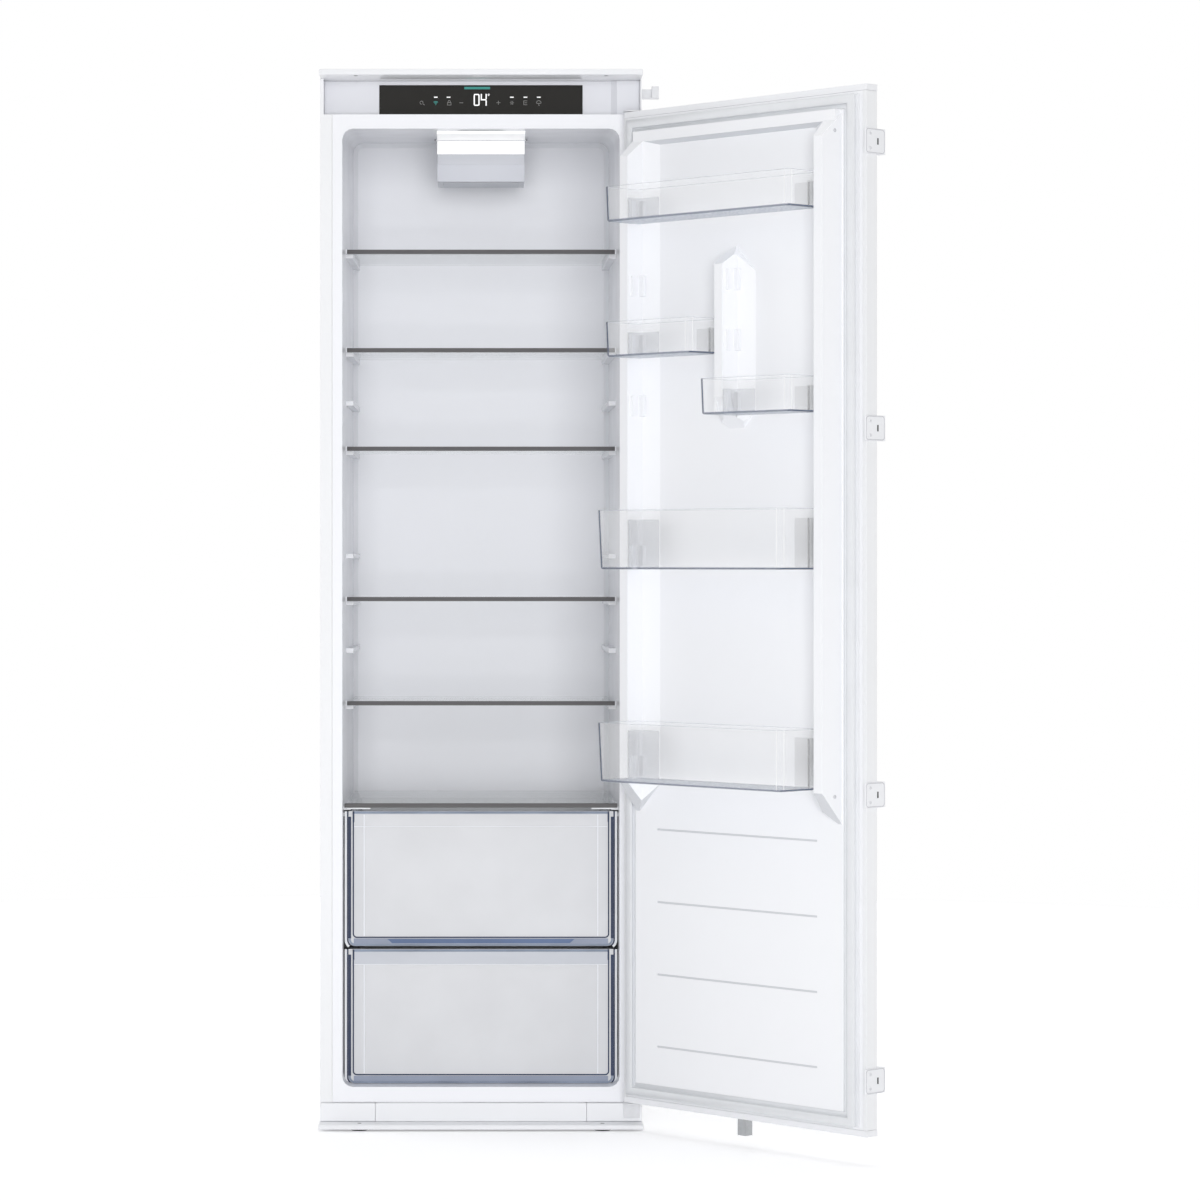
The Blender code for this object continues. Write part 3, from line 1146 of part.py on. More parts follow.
def lug(label, mirror, shift, floor_z):
    """Two bars that stand out of a flank: the balcony's back wall drops in between them."""
    low = floor_z + LUG_FROM_FLOOR
    bars = []
    for low_v, high_v, reach in ((LUG_LOW_V, LUG_HIGH_V, LUG_REACH),
                                 (STOP_LOW_V, STOP_HIGH_V, STOP_REACH)):
        tip_u = flank_u(high_v) + reach
        outline = [(flank_u(low_v) - LINER_WALL / 2, low_v),
                   (flank_u(high_v) - LINER_WALL / 2, high_v), (tip_u, high_v), (tip_u, low_v)]
        outline = [(u + shift, v) for u, v in outline]
        if mirror:
            outline = mirrored(outline)
        bars.append(door_prism(label, outline, low, low + LUG_HEIGHT, LINER_PLASTIC))
    return bars


def make_door_liner():
    """The moulded inner skin of the door: flange, plateau, legs, rib, top bar and lugs."""
    side = DOOR_LIP + GAP
    low, high = DOOR_BOTTOM_Z + CAP_HEIGHT + GAP, DOOR_TOP_Z - CAP_HEIGHT - GAP
    liner = door_box("door_liner", (side, -LINER_WALL, low), (DOOR_WIDTH - side, 0.0, high),
                     LINER_PLASTIC)
    for piece in door_form("liner_out", 0.0):
        join(liner, piece)
    below = box_below_flange()
    cut(liner, below)
    for piece in door_form("liner_in", LINER_WALL):
        cut(liner, piece)
    full, half = lug_rows()
    rib_shift = DOOR_WIDTH / 2 - LEG_INSET - LEG_TOP_WIDTH / 2
    for floor_z in full + half:
        join(liner, *lug("hinge_lug", False, 0.0, floor_z))
        join(liner, *lug("free_lug", True, 0.0, floor_z))
    for floor_z in half:
        join(liner, *lug("rib_lug", False, rib_shift, floor_z))
        join(liner, *lug("rib_lug", True, rib_shift, floor_z))


def box_below_flange():
    """A cutter that trims what the forms push through the back of the flange."""
    return door_box("flange_back", (PLATEAU_INSET - OVERRUN / 2, -OVERRUN, PLATEAU_BOTTOM_Z - OVERRUN / 2),
                    (DOOR_WIDTH - PLATEAU_INSET + OVERRUN / 2, -LINER_WALL,
                     PLATEAU_TOP_Z + OVERRUN / 2), LINER_PLASTIC)


def make_door_shell():
    """The outer steel tray with inward lips, the foam in it and the two end caps."""
    low, high = DOOR_BOTTOM_Z + CAP_HEIGHT + GAP, DOOR_TOP_Z - CAP_HEIGHT - GAP
    back = -DOOR_THICKNESS
    right = DOOR_WIDTH
    tray = [(0.0, back), (right, back), (right, 0.0), (right - DOOR_LIP, 0.0),
            (right - DOOR_LIP, -SHEET), (right - SHEET, -SHEET), (right - SHEET, back + SHEET),
            (SHEET, back + SHEET), (SHEET, -SHEET), (DOOR_LIP, -SHEET), (DOOR_LIP, 0.0),
            (0.0, 0.0)]
    door_prism("door_outer_panel", tray, low, high, WHITE_STEEL)
    edge = SHEET + GAP
    foam = door_box("door_foam", (edge, back + edge, low), (right - edge, -LINER_WALL - GAP, high),
                    FOAM)
    for piece in door_form("foam_form", LINER_WALL + GAP):
        join(foam, piece)
    for name, cap_low in (("door_top_cap", DOOR_TOP_Z - CAP_HEIGHT),
                          ("door_bottom_cap", DOOR_BOTTOM_Z)):
        cap = door_box(name, (-CAP_PROUD, back - CAP_PROUD, cap_low),
                       (right + CAP_PROUD, 0.0, cap_low + CAP_HEIGHT), WHITE_PLASTIC)
        pivot = door_plan([(PIVOT_FROM_EDGE, -PIVOT_DEPTH)])[0]
        cut(cap, cylinder("pin_hole", PIN_RADIUS + PIN_CLEARANCE,
                          (*pivot, cap_low - OVERRUN), CAP_HEIGHT + 2 * OVERRUN, WHITE_PLASTIC,
                          parent=DOOR_AXIS))


def make_gasket():
    """The magnetic seal: a frame on the door's flange that meets the cabinet when shut."""
    depth = DOOR_STANDOFF - 2 * GAP
    outer, inner = GASKET_INSET, GASKET_INSET + GASKET_WIDTH
    gasket = door_box("door_gasket", (outer, GAP, DOOR_BOTTOM_Z + outer),
                      (DOOR_WIDTH - outer, GAP + depth - GAP, DOOR_TOP_Z - outer), GASKET_RUBBER)
    cut(gasket, door_box("gasket_window", (inner, -OVERRUN, DOOR_BOTTOM_Z + inner),
                         (DOOR_WIDTH - inner, depth + OVERRUN, DOOR_TOP_Z - inner),
                         GASKET_RUBBER))


def balcony_outline(low_flank, high_flank, front_v):
    """Plan of a balcony between two flanks, each given as a function of v."""
    neck_v = LEG_HEIGHT - BALCONY_WALL
    corners = [(low_flank(neck_v) + BALCONY_LEG_GAP, front_v),
               (low_flank(neck_v) + BALCONY_LEG_GAP, neck_v),
               (low_flank(BALCONY_BACK_V) + BALCONY_LEG_GAP, BALCONY_BACK_V),
               (high_flank(BALCONY_BACK_V) - BALCONY_LEG_GAP, BALCONY_BACK_V),
               (high_flank(neck_v) - BALCONY_LEG_GAP, neck_v),
               (high_flank(neck_v) - BALCONY_LEG_GAP, front_v)]
    return corners


def make_balcony(name, low_flank, high_flank, front_v, floor_z, height):
    """A clear trough, with a slot in each end wall that drops over the liner's lug."""
    corners = balcony_outline(low_flank, high_flank, front_v)
    radii = [BALCONY_RADIUS, 0.0, 0.0, 0.0, 0.0, BALCONY_RADIUS]
    inner_radii = [max(radius - BALCONY_WALL, 0.0) for radius in radii]
    balcony = door_prism(name, rounded(corners, radii), floor_z, floor_z + height, CLEAR_PLASTIC)
    cut(balcony, door_prism(name + "_hollow", rounded(inset(corners, BALCONY_WALL), inner_radii),
                            floor_z + BALCONY_WALL, floor_z + height + OVERRUN, CLEAR_PLASTIC))
    spare = LUG_SLOT_CLEARANCE
    slot_top = floor_z + LUG_FROM_FLOOR + LUG_HEIGHT + GAP
    for flank, reach in ((low_flank, LUG_REACH + spare), (high_flank, -LUG_REACH - spare)):
        near = flank(LUG_HIGH_V) - math.copysign(OVERRUN, reach)
        far = flank(LUG_LOW_V) + reach
        cut(balcony, door_box(name + "_slot",
                              (min(near, far), LUG_LOW_V - spare, floor_z - OVERRUN),
                              (max(near, far), LUG_HIGH_V + spare, slot_top), CLEAR_PLASTIC))


def make_balconies():
    """Five balconies: three across the whole door and two beside the middle rib."""
    rib_shift = DOOR_WIDTH / 2 - LEG_INSET - LEG_TOP_WIDTH / 2

    def free_flank(v):
        return DOOR_WIDTH - flank_u(v)

    def rib_right(v):
        return flank_u(v) + rib_shift

    def rib_left(v):
        return DOOR_WIDTH - rib_right(v)

    slim = (SLIM_BALCONY_V, SLIM_BALCONY_HEIGHT)
    deep = (DEEP_BALCONY_V, DEEP_BALCONY_HEIGHT)
    rows = (("balcony_top", flank_u, free_flank, slim, BALCONY_TOP_Z),
            ("balcony_left_half", flank_u, rib_left, slim, BALCONY_LEFT_Z),
            ("balcony_right_half", rib_right, free_flank, slim, BALCONY_RIGHT_Z),
            ("balcony_bottle", flank_u, free_flank, deep, BALCONY_BOTTLE_Z),
            ("balcony_bottom", flank_u, free_flank, deep, BALCONY_LOW_Z))
    for name, low_flank, high_flank, (front_v, height), floor_z in rows:
        make_balcony(name, low_flank, high_flank, front_v, floor_z, height)


def make_door_brackets():
    """Sliding brackets on the free edge and the bracket under the door's middle."""
    side = DOOR_WIDTH + CAP_PROUD
    out_v = -DOOR_THICKNESS - SLIDER_OUTER_REACH
    for k, centre_z in enumerate(SLIDER_CENTRES_Z, start=1):
        low, high = centre_z - SLIDER_HEIGHT / 2, centre_z + SLIDER_HEIGHT / 2
        slider = door_box(f"slide_bracket_{k}", (side, out_v, low),
                          (side + SLIDER_SHEET, SLIDER_INNER_V, high), WHITE_PLASTIC)
        join(slider, door_box("slider_hook", (side - SLIDER_GRIP, out_v, low),
                              (side + SLIDER_SHEET / 2, -DOOR_THICKNESS - CAP_PROUD - GAP, high),
                              WHITE_PLASTIC))
    middle_u = DOOR_WIDTH * FOOT_BRACKET_U_SHARE
    middle_v = -DOOR_THICKNESS / 2
    door_box("door_foot_bracket",
             (middle_u - FOOT_BRACKET_LENGTH / 2, middle_v - FOOT_BRACKET_DEPTH / 2,
              DOOR_BOTTOM_Z - GAP - FOOT_BRACKET_DROP),
             (middle_u + FOOT_BRACKET_LENGTH / 2, middle_v + FOOT_BRACKET_DEPTH / 2,
              DOOR_BOTTOM_Z - GAP), GREY_STEEL)


make_side_panels()
make_flat_panels()
make_liner()
make_foam()
make_evaporator()
make_top_ledge()
make_control_housing()
make_display()
make_lamp()
make_airflow_unit()
make_fan_rotor()
make_shelves()
make_drawers()
make_base()
make_compressor()
make_condenser()
make_gland()
make_fixing_bracket()
make_hinges()
make_door_liner()
make_door_shell()
make_gasket()
make_balconies()
make_door_brackets()
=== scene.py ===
"""Looks of the tall built-in refrigerator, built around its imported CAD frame.

Metres, +Z up, X to the right, Y into the cabinet. Door coordinates are u from the hinge
edge, v from the door's inner flange into the cabinet, and z.
"""
import json
import math

import bmesh
import bpy
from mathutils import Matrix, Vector

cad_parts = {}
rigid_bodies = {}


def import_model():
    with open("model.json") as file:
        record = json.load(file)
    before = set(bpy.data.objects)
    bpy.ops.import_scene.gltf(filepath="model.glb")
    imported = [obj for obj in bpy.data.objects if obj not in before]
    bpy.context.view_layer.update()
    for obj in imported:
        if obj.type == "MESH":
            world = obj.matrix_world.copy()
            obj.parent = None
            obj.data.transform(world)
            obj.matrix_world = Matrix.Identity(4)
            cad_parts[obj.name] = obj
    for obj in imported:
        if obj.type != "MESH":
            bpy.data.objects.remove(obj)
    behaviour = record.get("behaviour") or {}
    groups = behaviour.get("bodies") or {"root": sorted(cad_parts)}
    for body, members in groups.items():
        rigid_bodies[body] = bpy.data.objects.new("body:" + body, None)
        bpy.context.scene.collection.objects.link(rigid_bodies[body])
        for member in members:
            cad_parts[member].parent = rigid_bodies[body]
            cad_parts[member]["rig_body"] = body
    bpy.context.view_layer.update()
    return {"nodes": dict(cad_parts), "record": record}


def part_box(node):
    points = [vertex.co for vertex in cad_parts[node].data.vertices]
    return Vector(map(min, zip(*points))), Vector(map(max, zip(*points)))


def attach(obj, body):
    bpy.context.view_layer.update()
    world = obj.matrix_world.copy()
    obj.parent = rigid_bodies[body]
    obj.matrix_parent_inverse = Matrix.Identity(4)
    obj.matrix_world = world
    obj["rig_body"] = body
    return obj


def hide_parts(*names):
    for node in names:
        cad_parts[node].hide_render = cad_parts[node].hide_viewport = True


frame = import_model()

# Camera of the photograph, fitted to the cabinet's outline
CAMERA_DISTANCE = 6.4
CAMERA_HEIGHT = 0.949
CAMERA_LENS = 114.4
SENSOR = 36.0
CAMERA_SHIFT = (0.0992, -0.0333)

WELD = 0.00001
GAP = 0.0003
FLAT_DEGREES = 0.3
SHARP_DEGREES = 30.0
MITRE_LIMIT = 0.3
BRIGHTEST = 0.98

# Marks on the display: how far they stand before and behind the glass, and their lines
MARK_PROUD = 0.0002
MARK_SUNK = 0.0002
DASH_X = (-0.0763, -0.0547, 0.0521, 0.0751, 0.0975)
DASH_SIZE = (0.0062, 0.0017)
DIGIT_LINE = 0.0020
SIGN_LINE = 0.0009

# Front of the cabinet
SHEET = 0.001
LEDGE_SCREW_X = 0.209
LEDGE_SCREW_Y = -0.040
FLANGE_BACK_Y = 0.0023
AIRFLOW_STEP_Z = 1.6363
AIRFLOW_LOUVRES = 9
LOUVRE_START = 0.018
LOUVRE_MARGIN = 0.030

# Where the caps beside the shelf trims start and end, from the trim
CAP_NEAR = 0.0003
CAP_FAR = 0.0034

# Crispers: front plate, clear wall, hanging flange, corner, and the fins along the plate's sides
PLATE = 0.0050
BIN_WALL = 0.0025
BIN_FLANGE = 0.0085
PLATE_CORNER = 0.0105
FIN_WIDTH = 0.0064
FIN_DARK = 0.0026
FIN_BEND = -50.0

# Back of the cabinet and the compressor's recess
BACK_WALL_Y = 0.425
BACK_Y = 0.470
NICHE_FRONT_Y = 0.300
NICHE_TOP_Z = 0.226
BEAD_X = (-0.236, -0.100, 0.0, 0.100, 0.236)
CONDENSER_RUNS = 20
CONDENSER_Z = (0.320, 1.600)
CONDENSER_RAIL_X = 0.150
WIRE_STANDOFF = 0.0105
COMPRESSOR_CENTRE = (0.040, 0.390)
NUT_REACH = (0.065, 0.0275)

# Pipes at the compressor as radius and points, and the drier between them
PIPES = (
    (0.0024, [(0.000, 0.448, 0.120), (-0.030, 0.456, 0.122), (-0.090, 0.458, 0.135),
              (-0.150, 0.464, 0.175), (-0.1712, 0.4765, 0.230), (-0.1712, 0.4805, 0.280),
              (-0.1712, 0.4805, 0.3195)]),
    (0.0032, [(0.095, 0.438, 0.120), (0.125, 0.450, 0.125), (0.150, 0.448, 0.150),
              (0.158, 0.430, 0.185), (0.158, 0.424, 0.2255)]),
    (0.0028, [(0.040, 0.460, 0.112), (0.040, 0.474, 0.116), (0.044, 0.476, 0.150)]),
    (0.0020, [(-0.222, 0.440, 0.186), (-0.221, 0.440, 0.205), (-0.212, 0.436, 0.2255)]),
    (0.0012, [(-0.222, 0.440, 0.084), (-0.220, 0.446, 0.066), (-0.196, 0.452, 0.062),
              (-0.170, 0.448, 0.075), (-0.160, 0.436, 0.120), (-0.158, 0.430, 0.2255)]),
)
DRIER_CENTRE = (-0.222, 0.440, 0.135)
DRIER_PROFILE = [(0.0024, -0.052), (0.0036, -0.048), (0.0090, -0.040), (0.0090, 0.040),
                 (0.0036, 0.048), (0.0020, 0.052)]

# Door sizes
DOOR_WIDTH = 0.535
DOOR_BOTTOM_Z = 0.0435
DOOR_TOP_Z = 1.6965
GASKET_INSET = 0.015
RIB_SHIFT = DOOR_WIDTH / 2 - 0.044 - 0.009
GROOVES_Z = (0.5045, 0.3845, 0.2650, 0.1460)
GROOVE_U = (0.0890, 0.4420)
GROOVE_HALF = 0.0016
GROOVE_FLOOR_V = 0.0104
PANEL_V = 0.0120
GROOVE_STRIP_AREA = 0.0013
DOWNWARD = -0.35
PLAIN_WALL_Z = (0.65, 1.5)
LEG_CAP_Z = (1.624, 0.577)

# Balconies: the neck between the flanks, the leg's face, the gap beside them and the lug's pocket
NECK_V = 0.0525
LEG_V = 0.0342
FLANK_GAP = 0.001
LUG_V = 0.049
POCKET_V = (0.0369, 0.0600)
POCKET_WALL = 0.0018

# Door axis and where the door's edge and flange stand from it
OPEN_DEGREES = 133.0
PIVOT = (0.257, -0.029)
PIVOT_TO_EDGE = 0.0105
PIVOT_TO_FLANGE = 0.014

# Lamps as name, place, aim and the share of white that each adds to a surface facing it
WORLD_LEVEL = 0.45
FLOOR_LIFT = 0.26
FLOOR_RADIUS = 4.4
FLOOR_Z = -0.0031
LAMP_SIZE = 3.0
LAMPS = (
    ("front", (0.3, -7.4, 1.2), (0.0, 0.2, 0.9), 0.475),
    ("left", (-4.9, 2.6, 1.8), (0.0, 0.2, 0.9), 0.36),
    ("right", (4.8, 3.7, 1.8), (0.3, 0.2, 0.9), 0.18),
    ("back", (0.2, 6.0, 2.2), (0.0, 0.2, 0.9), 0.22),
    ("top", (0.2, 0.2, 5.6), (0.1, 0.1, 0.9), 0.24),
)

# Finishes of one colour as key, name, colour, roughness, then mottle, roughness range and bump
FINISHES = (
    ("white_steel", "painted_steel", (240, 241, 243), 0.38,
     (3.0, 0.012), (14.0, 0.34, 0.42), (900.0, 0.00004, 0.35)),
    ("white_plastic", "white_moulding", (240, 241, 244), 0.42,
     (5.0, 0.015), (20.0, 0.38, 0.48), (1400.0, 0.00003, 0.3)),
    ("liner_plastic", "glossy_liner", (243, 244, 248), 0.24,
     (2.5, 0.012), (9.0, 0.20, 0.265), (1100.0, 0.00002, 0.15)),
    ("door_plastic", "glossy_door_liner", (245, 246, 249), 0.30,
     (2.5, 0.012), (9.0, 0.29, 0.34), (1100.0, 0.00002, 0.15)),
    # Painted shade: the darker colour of the door liner's grooves and downward faces
    ("groove_and_underside_painted_shade", "door_liner_painted_shade", (216, 218, 222), 0.4, (5.0, 0.02)),
    # Painted shade: the control housing and the pieces round it are darker than the white mouldings,
    # as shade under the ledge
    ("housing_painted_shade", "control_moulding_painted_shade", (229, 230, 235), 0.36,
     (5.0, 0.012), (20.0, 0.32, 0.42), (1400.0, 0.00003, 0.3)),
    ("gloss_plastic", "gloss_moulding", (240, 241, 244), 0.06, (5.0, 0.010), (30.0, 0.05, 0.09)),
    ("bright_zinc", "bright_zinc", (226, 227, 230), 0.34,
     (90.0, 0.05), (160.0, 0.29, 0.44), (600.0, 0.00003, 0.3)),
    ("copper", "copper_pipe", (196, 128, 92), 0.34, (60.0, 0.18), (120.0, 0.28, 0.46)),
    ("insulation_foam", "rigid_foam", (233, 228, 210), 0.85, (60.0, 0.10), (), (420.0, 0.0006, 0.6)),
    ("display_panel", "smoked_glass_panel", (46, 45, 43), 0.14,
     (3.0, 0.05, 3.0, (1.0, 1.0, 0.3)), (30.0, 0.12, 0.18)),
    ("mark_white", "lit_white_mark", (250, 250, 250), 0.4, (200.0, 0.01)),
    ("mark_teal", "lit_teal_mark", (66, 150, 142), 0.4, (200.0, 0.03)),
    ("mark_grey", "dim_grey_mark", (128, 128, 126), 0.4, (200.0, 0.03)),
    ("circuit_board", "green_board", (38, 92, 58), 0.45, (260.0, 0.25), (), (500.0, 0.0002, 0.4)),
    ("lamp_diffuser", "opal_diffuser", (252, 252, 252), 0.35, (12.0, 0.01)),
    # Painted shade: grey for the lamp's shade line and the slide brackets' rims; the leg caps are this
    # grey too
    ("grey_and_painted_shade_plastic", "grey_moulding_and_painted_shade", (205, 206, 210), 0.5, (40.0, 0.02)),
    # Painted shade: the airflow unit's own pale grey, darkened further for the shade at the top of the
    # cavity
    ("airflow_grey_and_painted_shade", "airflow_moulding_grey_and_painted_shade", (203, 205, 211), 0.35,
     (5.0, 0.02), (20.0, 0.30, 0.42), (1300.0, 0.00003, 0.3)),
    ("airflow_cover_grey_and_painted_shade", "airflow_front", (206, 208, 215), 0.35, (5.0, 0.02), (20.0, 0.30, 0.42)),
    ("zinc_steel", "zinc_plate", (176, 178, 180), 0.34,
     (90.0, 0.10), (160.0, 0.29, 0.44), (600.0, 0.00003, 0.3)),
    ("black_steel", "black_enamel", (34, 34, 36), 0.42,
     (30.0, 0.12), (60.0, 0.36, 0.52), (700.0, 0.00005, 0.4)),
    ("black_plastic", "black_moulding", (40, 41, 43), 0.5, (40.0, 0.10), (), (1200.0, 0.00005, 0.4)),
    ("aluminium", "rolled_aluminium", (196, 198, 200), 0.32,
     (20.0, 0.06, 3.0, (1.0, 1.0, 14.0)), (90.0, 0.29, 0.40)),
    ("gasket", "soft_gasket", (227, 229, 232), 0.55, (25.0, 0.03), (), (600.0, 0.0001, 0.3)),
    ("shelf_trim", "brushed_dark_metal", (101, 100, 101), 0.34,
     (40.0, 0.10, 3.0, (0.25, 6.0, 12.0)), (60.0, 0.28, 0.42, (0.2, 6.0, 12.0))),
    # Painted shade and painted highlight: copies of one clear corner material, dark and light
    ("corner_painted_shade", "painted_shade_corner", (70, 82, 106), 0.18, (40.0, 0.05)),
    ("corner_painted_highlight", "painted_highlight_corner", (252, 252, 253), 0.18, (40.0, 0.05)),
    # Painted shade and painted light: one frosted pocket in a darker, more solid copy and a lighter,
    # clearer copy
    ("pocket_painted_shade", "frosted_pocket", (220, 222, 227), 0.18, (40.0, 0.05)),
    ("pocket_painted_light", "frosted_pocket_painted_light", (238, 239, 242), 0.18, (40.0, 0.05)),
    ("clip_plastic", "clip_clear", (240, 242, 245), 0.18, (40.0, 0.05)),
    ("line_dark", "dark_edge_line", (46, 56, 82), 0.2, (9.0, 0.35)),
    ("line_grey", "grey_edge_line", (132, 142, 160), 0.2, (14.0, 0.25)),
    ("band_grey", "thick_edge_band", (146, 154, 172), 0.2, (9.0, 0.14, 3.0, (1.0, 1.0, 0.4))),
    ("band_blue", "deep_edge_band", (92, 110, 144), 0.2, (8.0, 0.15)),
    ("line_soft", "soft_edge_line", (232, 234, 239), 0.25, (14.0, 0.03)),
    # Painted shade: the grey band near the top of the lower drawer's front
    ("band_painted_shade", "upper_band_painted_shade", (199, 202, 209), 0.25, (6.0, 0.05, 3.0, (1.0, 1.0, 4.0))),
)
WHITE = (1.0, 1.0, 1.0, 1.0)
OTHER_SOCKETS = {
    "bright_zinc": {"Metallic": 0.35}, "copper": {"Metallic": 1.0}, "zinc_steel": {"Metallic": 1.0},
    "aluminium": {"Metallic": 1.0}, "shelf_trim": {"Metallic": 0.7},
    "display_panel": {"Specular IOR Level": 0.12},
    "mark_white": {"Emission Color": WHITE, "Emission Strength": 0.35},
    "lamp_diffuser": {"Emission Color": WHITE, "Emission Strength": 0.30},
    "corner_painted_shade": {"Alpha": 0.85}, "corner_painted_highlight": {"Alpha": 0.85}, "clip_plastic": {"Alpha": 0.90},
    "pocket_painted_shade": {"Alpha": 0.30}, "pocket_painted_light": {"Alpha": 0.09},
}
# Clear mouldings as key, name, colour and how solid they are seen flat and edge on
CLEAR_FINISHES = (
    ("clear_plastic", "clear_wall", (250, 251, 252), 0.07, 0.42),
    ("clear_edge", "clear_thick_edge", (96, 106, 128), 0.62, 0.95),
    ("clear_rim", "clear_top_rim", (206, 210, 218), 0.40, 0.75),
    ("drawer_plastic", "drawer_wall", (243, 244, 247), 0.66, 0.90),
)

# Nodes by the width of their rounded edges
ROUNDED_NODES = {
    0.0: ("top_ledge", "base_lip", "compressor", "condenser", "fan_motor", "fan_rotor"),
    0.0003: ("rear_panel", "display_panel", "door_outer_panel", "front_foot_left",
             "front_foot_right", "cable_gland"),
    0.0004: ("side_panel_left", "side_panel_right", "top_panel", "base_tray",
             "upper_hinge_bracket"),
    0.0005: ("crisper_cover_glass", *(f"shelf_{k}_glass" for k in range(1, 6))),
    0.0006: ("plinth_panel", "niche_fixing_bracket", "lower_hinge_bracket", "door_foot_bracket",
             "crisper_cover_trim", *(f"slide_bracket_{k}" for k in range(1, 5)),
             *(f"shelf_{k}_trim" for k in range(1, 6))),
    0.0008: ("control_housing",),
    0.0010: ("inner_liner", "airflow_housing", "door_top_cap", "door_bottom_cap"),
    0.0015: ("base_rail_left", "base_rail_right"),
    0.0020: ("relay_cover",),
}
OTHER_FINISH = {
    "control_housing": "housing_painted_shade", "top_ledge": "gloss_plastic",
    "upper_hinge_bracket": "bright_zinc", "lower_hinge_bracket": "bright_zinc",
    "niche_fixing_bracket": "bright_zinc", "airflow_housing": "airflow_grey_and_painted_shade",
}
MADE_HERE = ("lamp_diffuser", "drawer_upper", "drawer_lower", "balcony_top", "balcony_left_half",
             "balcony_right_half", "balcony_bottle", "balcony_bottom", "door_gasket", "door_liner")


def new_object(name, data):
    obj = bpy.data.objects.new(name, data)
    bpy.context.scene.collection.objects.link(obj)
    return obj


def camera():
    data = bpy.data.cameras.new("photo_camera")
    data.lens = CAMERA_LENS
    data.sensor_width = SENSOR
    data.shift_x, data.shift_y = CAMERA_SHIFT
    obj = new_object("photo_camera", data)
    obj.location = (0.0, -CAMERA_DISTANCE, CAMERA_HEIGHT)
    obj.rotation_euler = (math.radians(90.0), 0.0, 0.0)
    bpy.context.scene.camera = obj


def srgb(red, green, blue):
    """Linear colour of an 8-bit screen colour."""
    def linear(value):
        share = value / 255.0
        return share / 12.92 if share <= 0.04045 else ((share + 0.055) / 1.055) ** 2.4
    return (linear(red), linear(green), linear(blue), 1.0)


def shade(colour, factor):
    """The colour times factor, kept within what a surface can return."""
    return tuple(min(channel * factor, BRIGHTEST) for channel in colour[:3]) + (1.0,)


def add_node(tree, kind, values=(), **settings):
    """A new shader node. values holds pairs of an input and its value."""
    node = tree.nodes.new("ShaderNode" + kind)
    for name, setting in settings.items():
        setattr(node, name, setting)
    for socket, value in values:
        node.inputs[socket].default_value = value
    return node


class Finish:
    """A Principled material with helpers for procedural detail in object coordinates."""

    def __init__(self, name, colour, roughness):
        self.material = bpy.data.materials.new(name)
        self.material.use_nodes = True
        self.tree = self.material.node_tree
        self.shader = self.tree.nodes["Principled BSDF"]
        self.colour = colour
        self.set("Base Color", colour)
        self.set("Roughness", roughness)
        self.place = add_node(self.tree, "TexCoord").outputs["Object"]

    def set(self, socket, value):
        self.shader.inputs[socket].default_value = value

    def link(self, output, socket):
        self.tree.links.new(output, socket)

    def noise(self, scale, detail=3.0, stretch=(1.0, 1.0, 1.0)):
        """Noise from 0 to 1 with features of about 1/scale metres."""
        mapping = add_node(self.tree, "Mapping", [("Scale", [scale * s for s in stretch])])
        self.link(self.place, mapping.inputs["Vector"])
        node = add_node(self.tree, "TexNoise", [("Scale", 1.0), ("Detail", detail)])
        self.link(mapping.outputs["Vector"], node.inputs["Vector"])
        return node.outputs["Fac"]

    def ramp(self, factor, *stops):
        """Maps factor through (position, colour) stops."""
        node = add_node(self.tree, "ValToRGB")
        elements = node.color_ramp.elements
        while len(elements) < len(stops):
            elements.new(0.5)
        for element, (position, colour) in zip(elements, stops):
            element.position = position
            element.color = colour
        self.link(factor, node.inputs["Fac"])
        return node.outputs["Color"]

    def mottle(self, scale, amount, detail=3.0, stretch=(1.0, 1.0, 1.0)):
        """Varies the colour by amount either way."""
        output = self.ramp(self.noise(scale, detail, stretch),
                           (0.2, shade(self.colour, 1.0 - amount)),
                           (0.8, shade(self.colour, 1.0 + amount)))
        self.link(output, self.shader.inputs["Base Color"])

    def rough(self, scale, low, high, stretch=(1.0, 1.0, 1.0)):
        """Varies the roughness from low to high."""
        node = add_node(self.tree, "MapRange", [("From Min", 0.2), ("From Max", 0.8),
                                                ("To Min", low), ("To Max", high)])
        self.link(self.noise(scale, 2.0, stretch), node.inputs["Value"])
        self.link(node.outputs["Result"], self.shader.inputs["Roughness"])

    def bump(self, scale, distance, strength):
        """Gives the surface a fine grain, distance metres high."""
        node = add_node(self.tree, "Bump", [("Strength", strength), ("Distance", distance)])
        self.link(self.noise(scale, 2.0), node.inputs["Height"])
        self.link(node.outputs["Normal"], self.shader.inputs["Normal"])


def make_finishes():
    """One material for each kind of surface."""
    made = {}
    for key, name, colour, roughness, *details in FINISHES:
        made[key] = Finish(name, srgb(*colour), roughness)
        for vary, values in zip((made[key].mottle, made[key].rough, made[key].bump), details):
            if values:
                vary(*values)
        for socket, value in OTHER_SOCKETS.get(key, {}).items():
            made[key].set(socket, value)
    for key, name, colour, low, high in CLEAR_FINISHES:
        made[key] = clear_finish(name, srgb(*colour), low, high)
    made["shelf_glass"] = glass_finish()
    made["clear_frost"] = frost_finish()
    return {key: finish.material for key, finish in made.items()}


def facing(finish, power):
    """0 where the surface faces the eye and 1 where it is seen edge on."""
    weight = add_node(finish.tree, "LayerWeight", [("Blend", 0.5)])
    node = add_node(finish.tree, "Math", [(1, power)], operation="POWER")
    finish.link(weight.outputs["Facing"], node.inputs[0])
    return node.outputs[0]


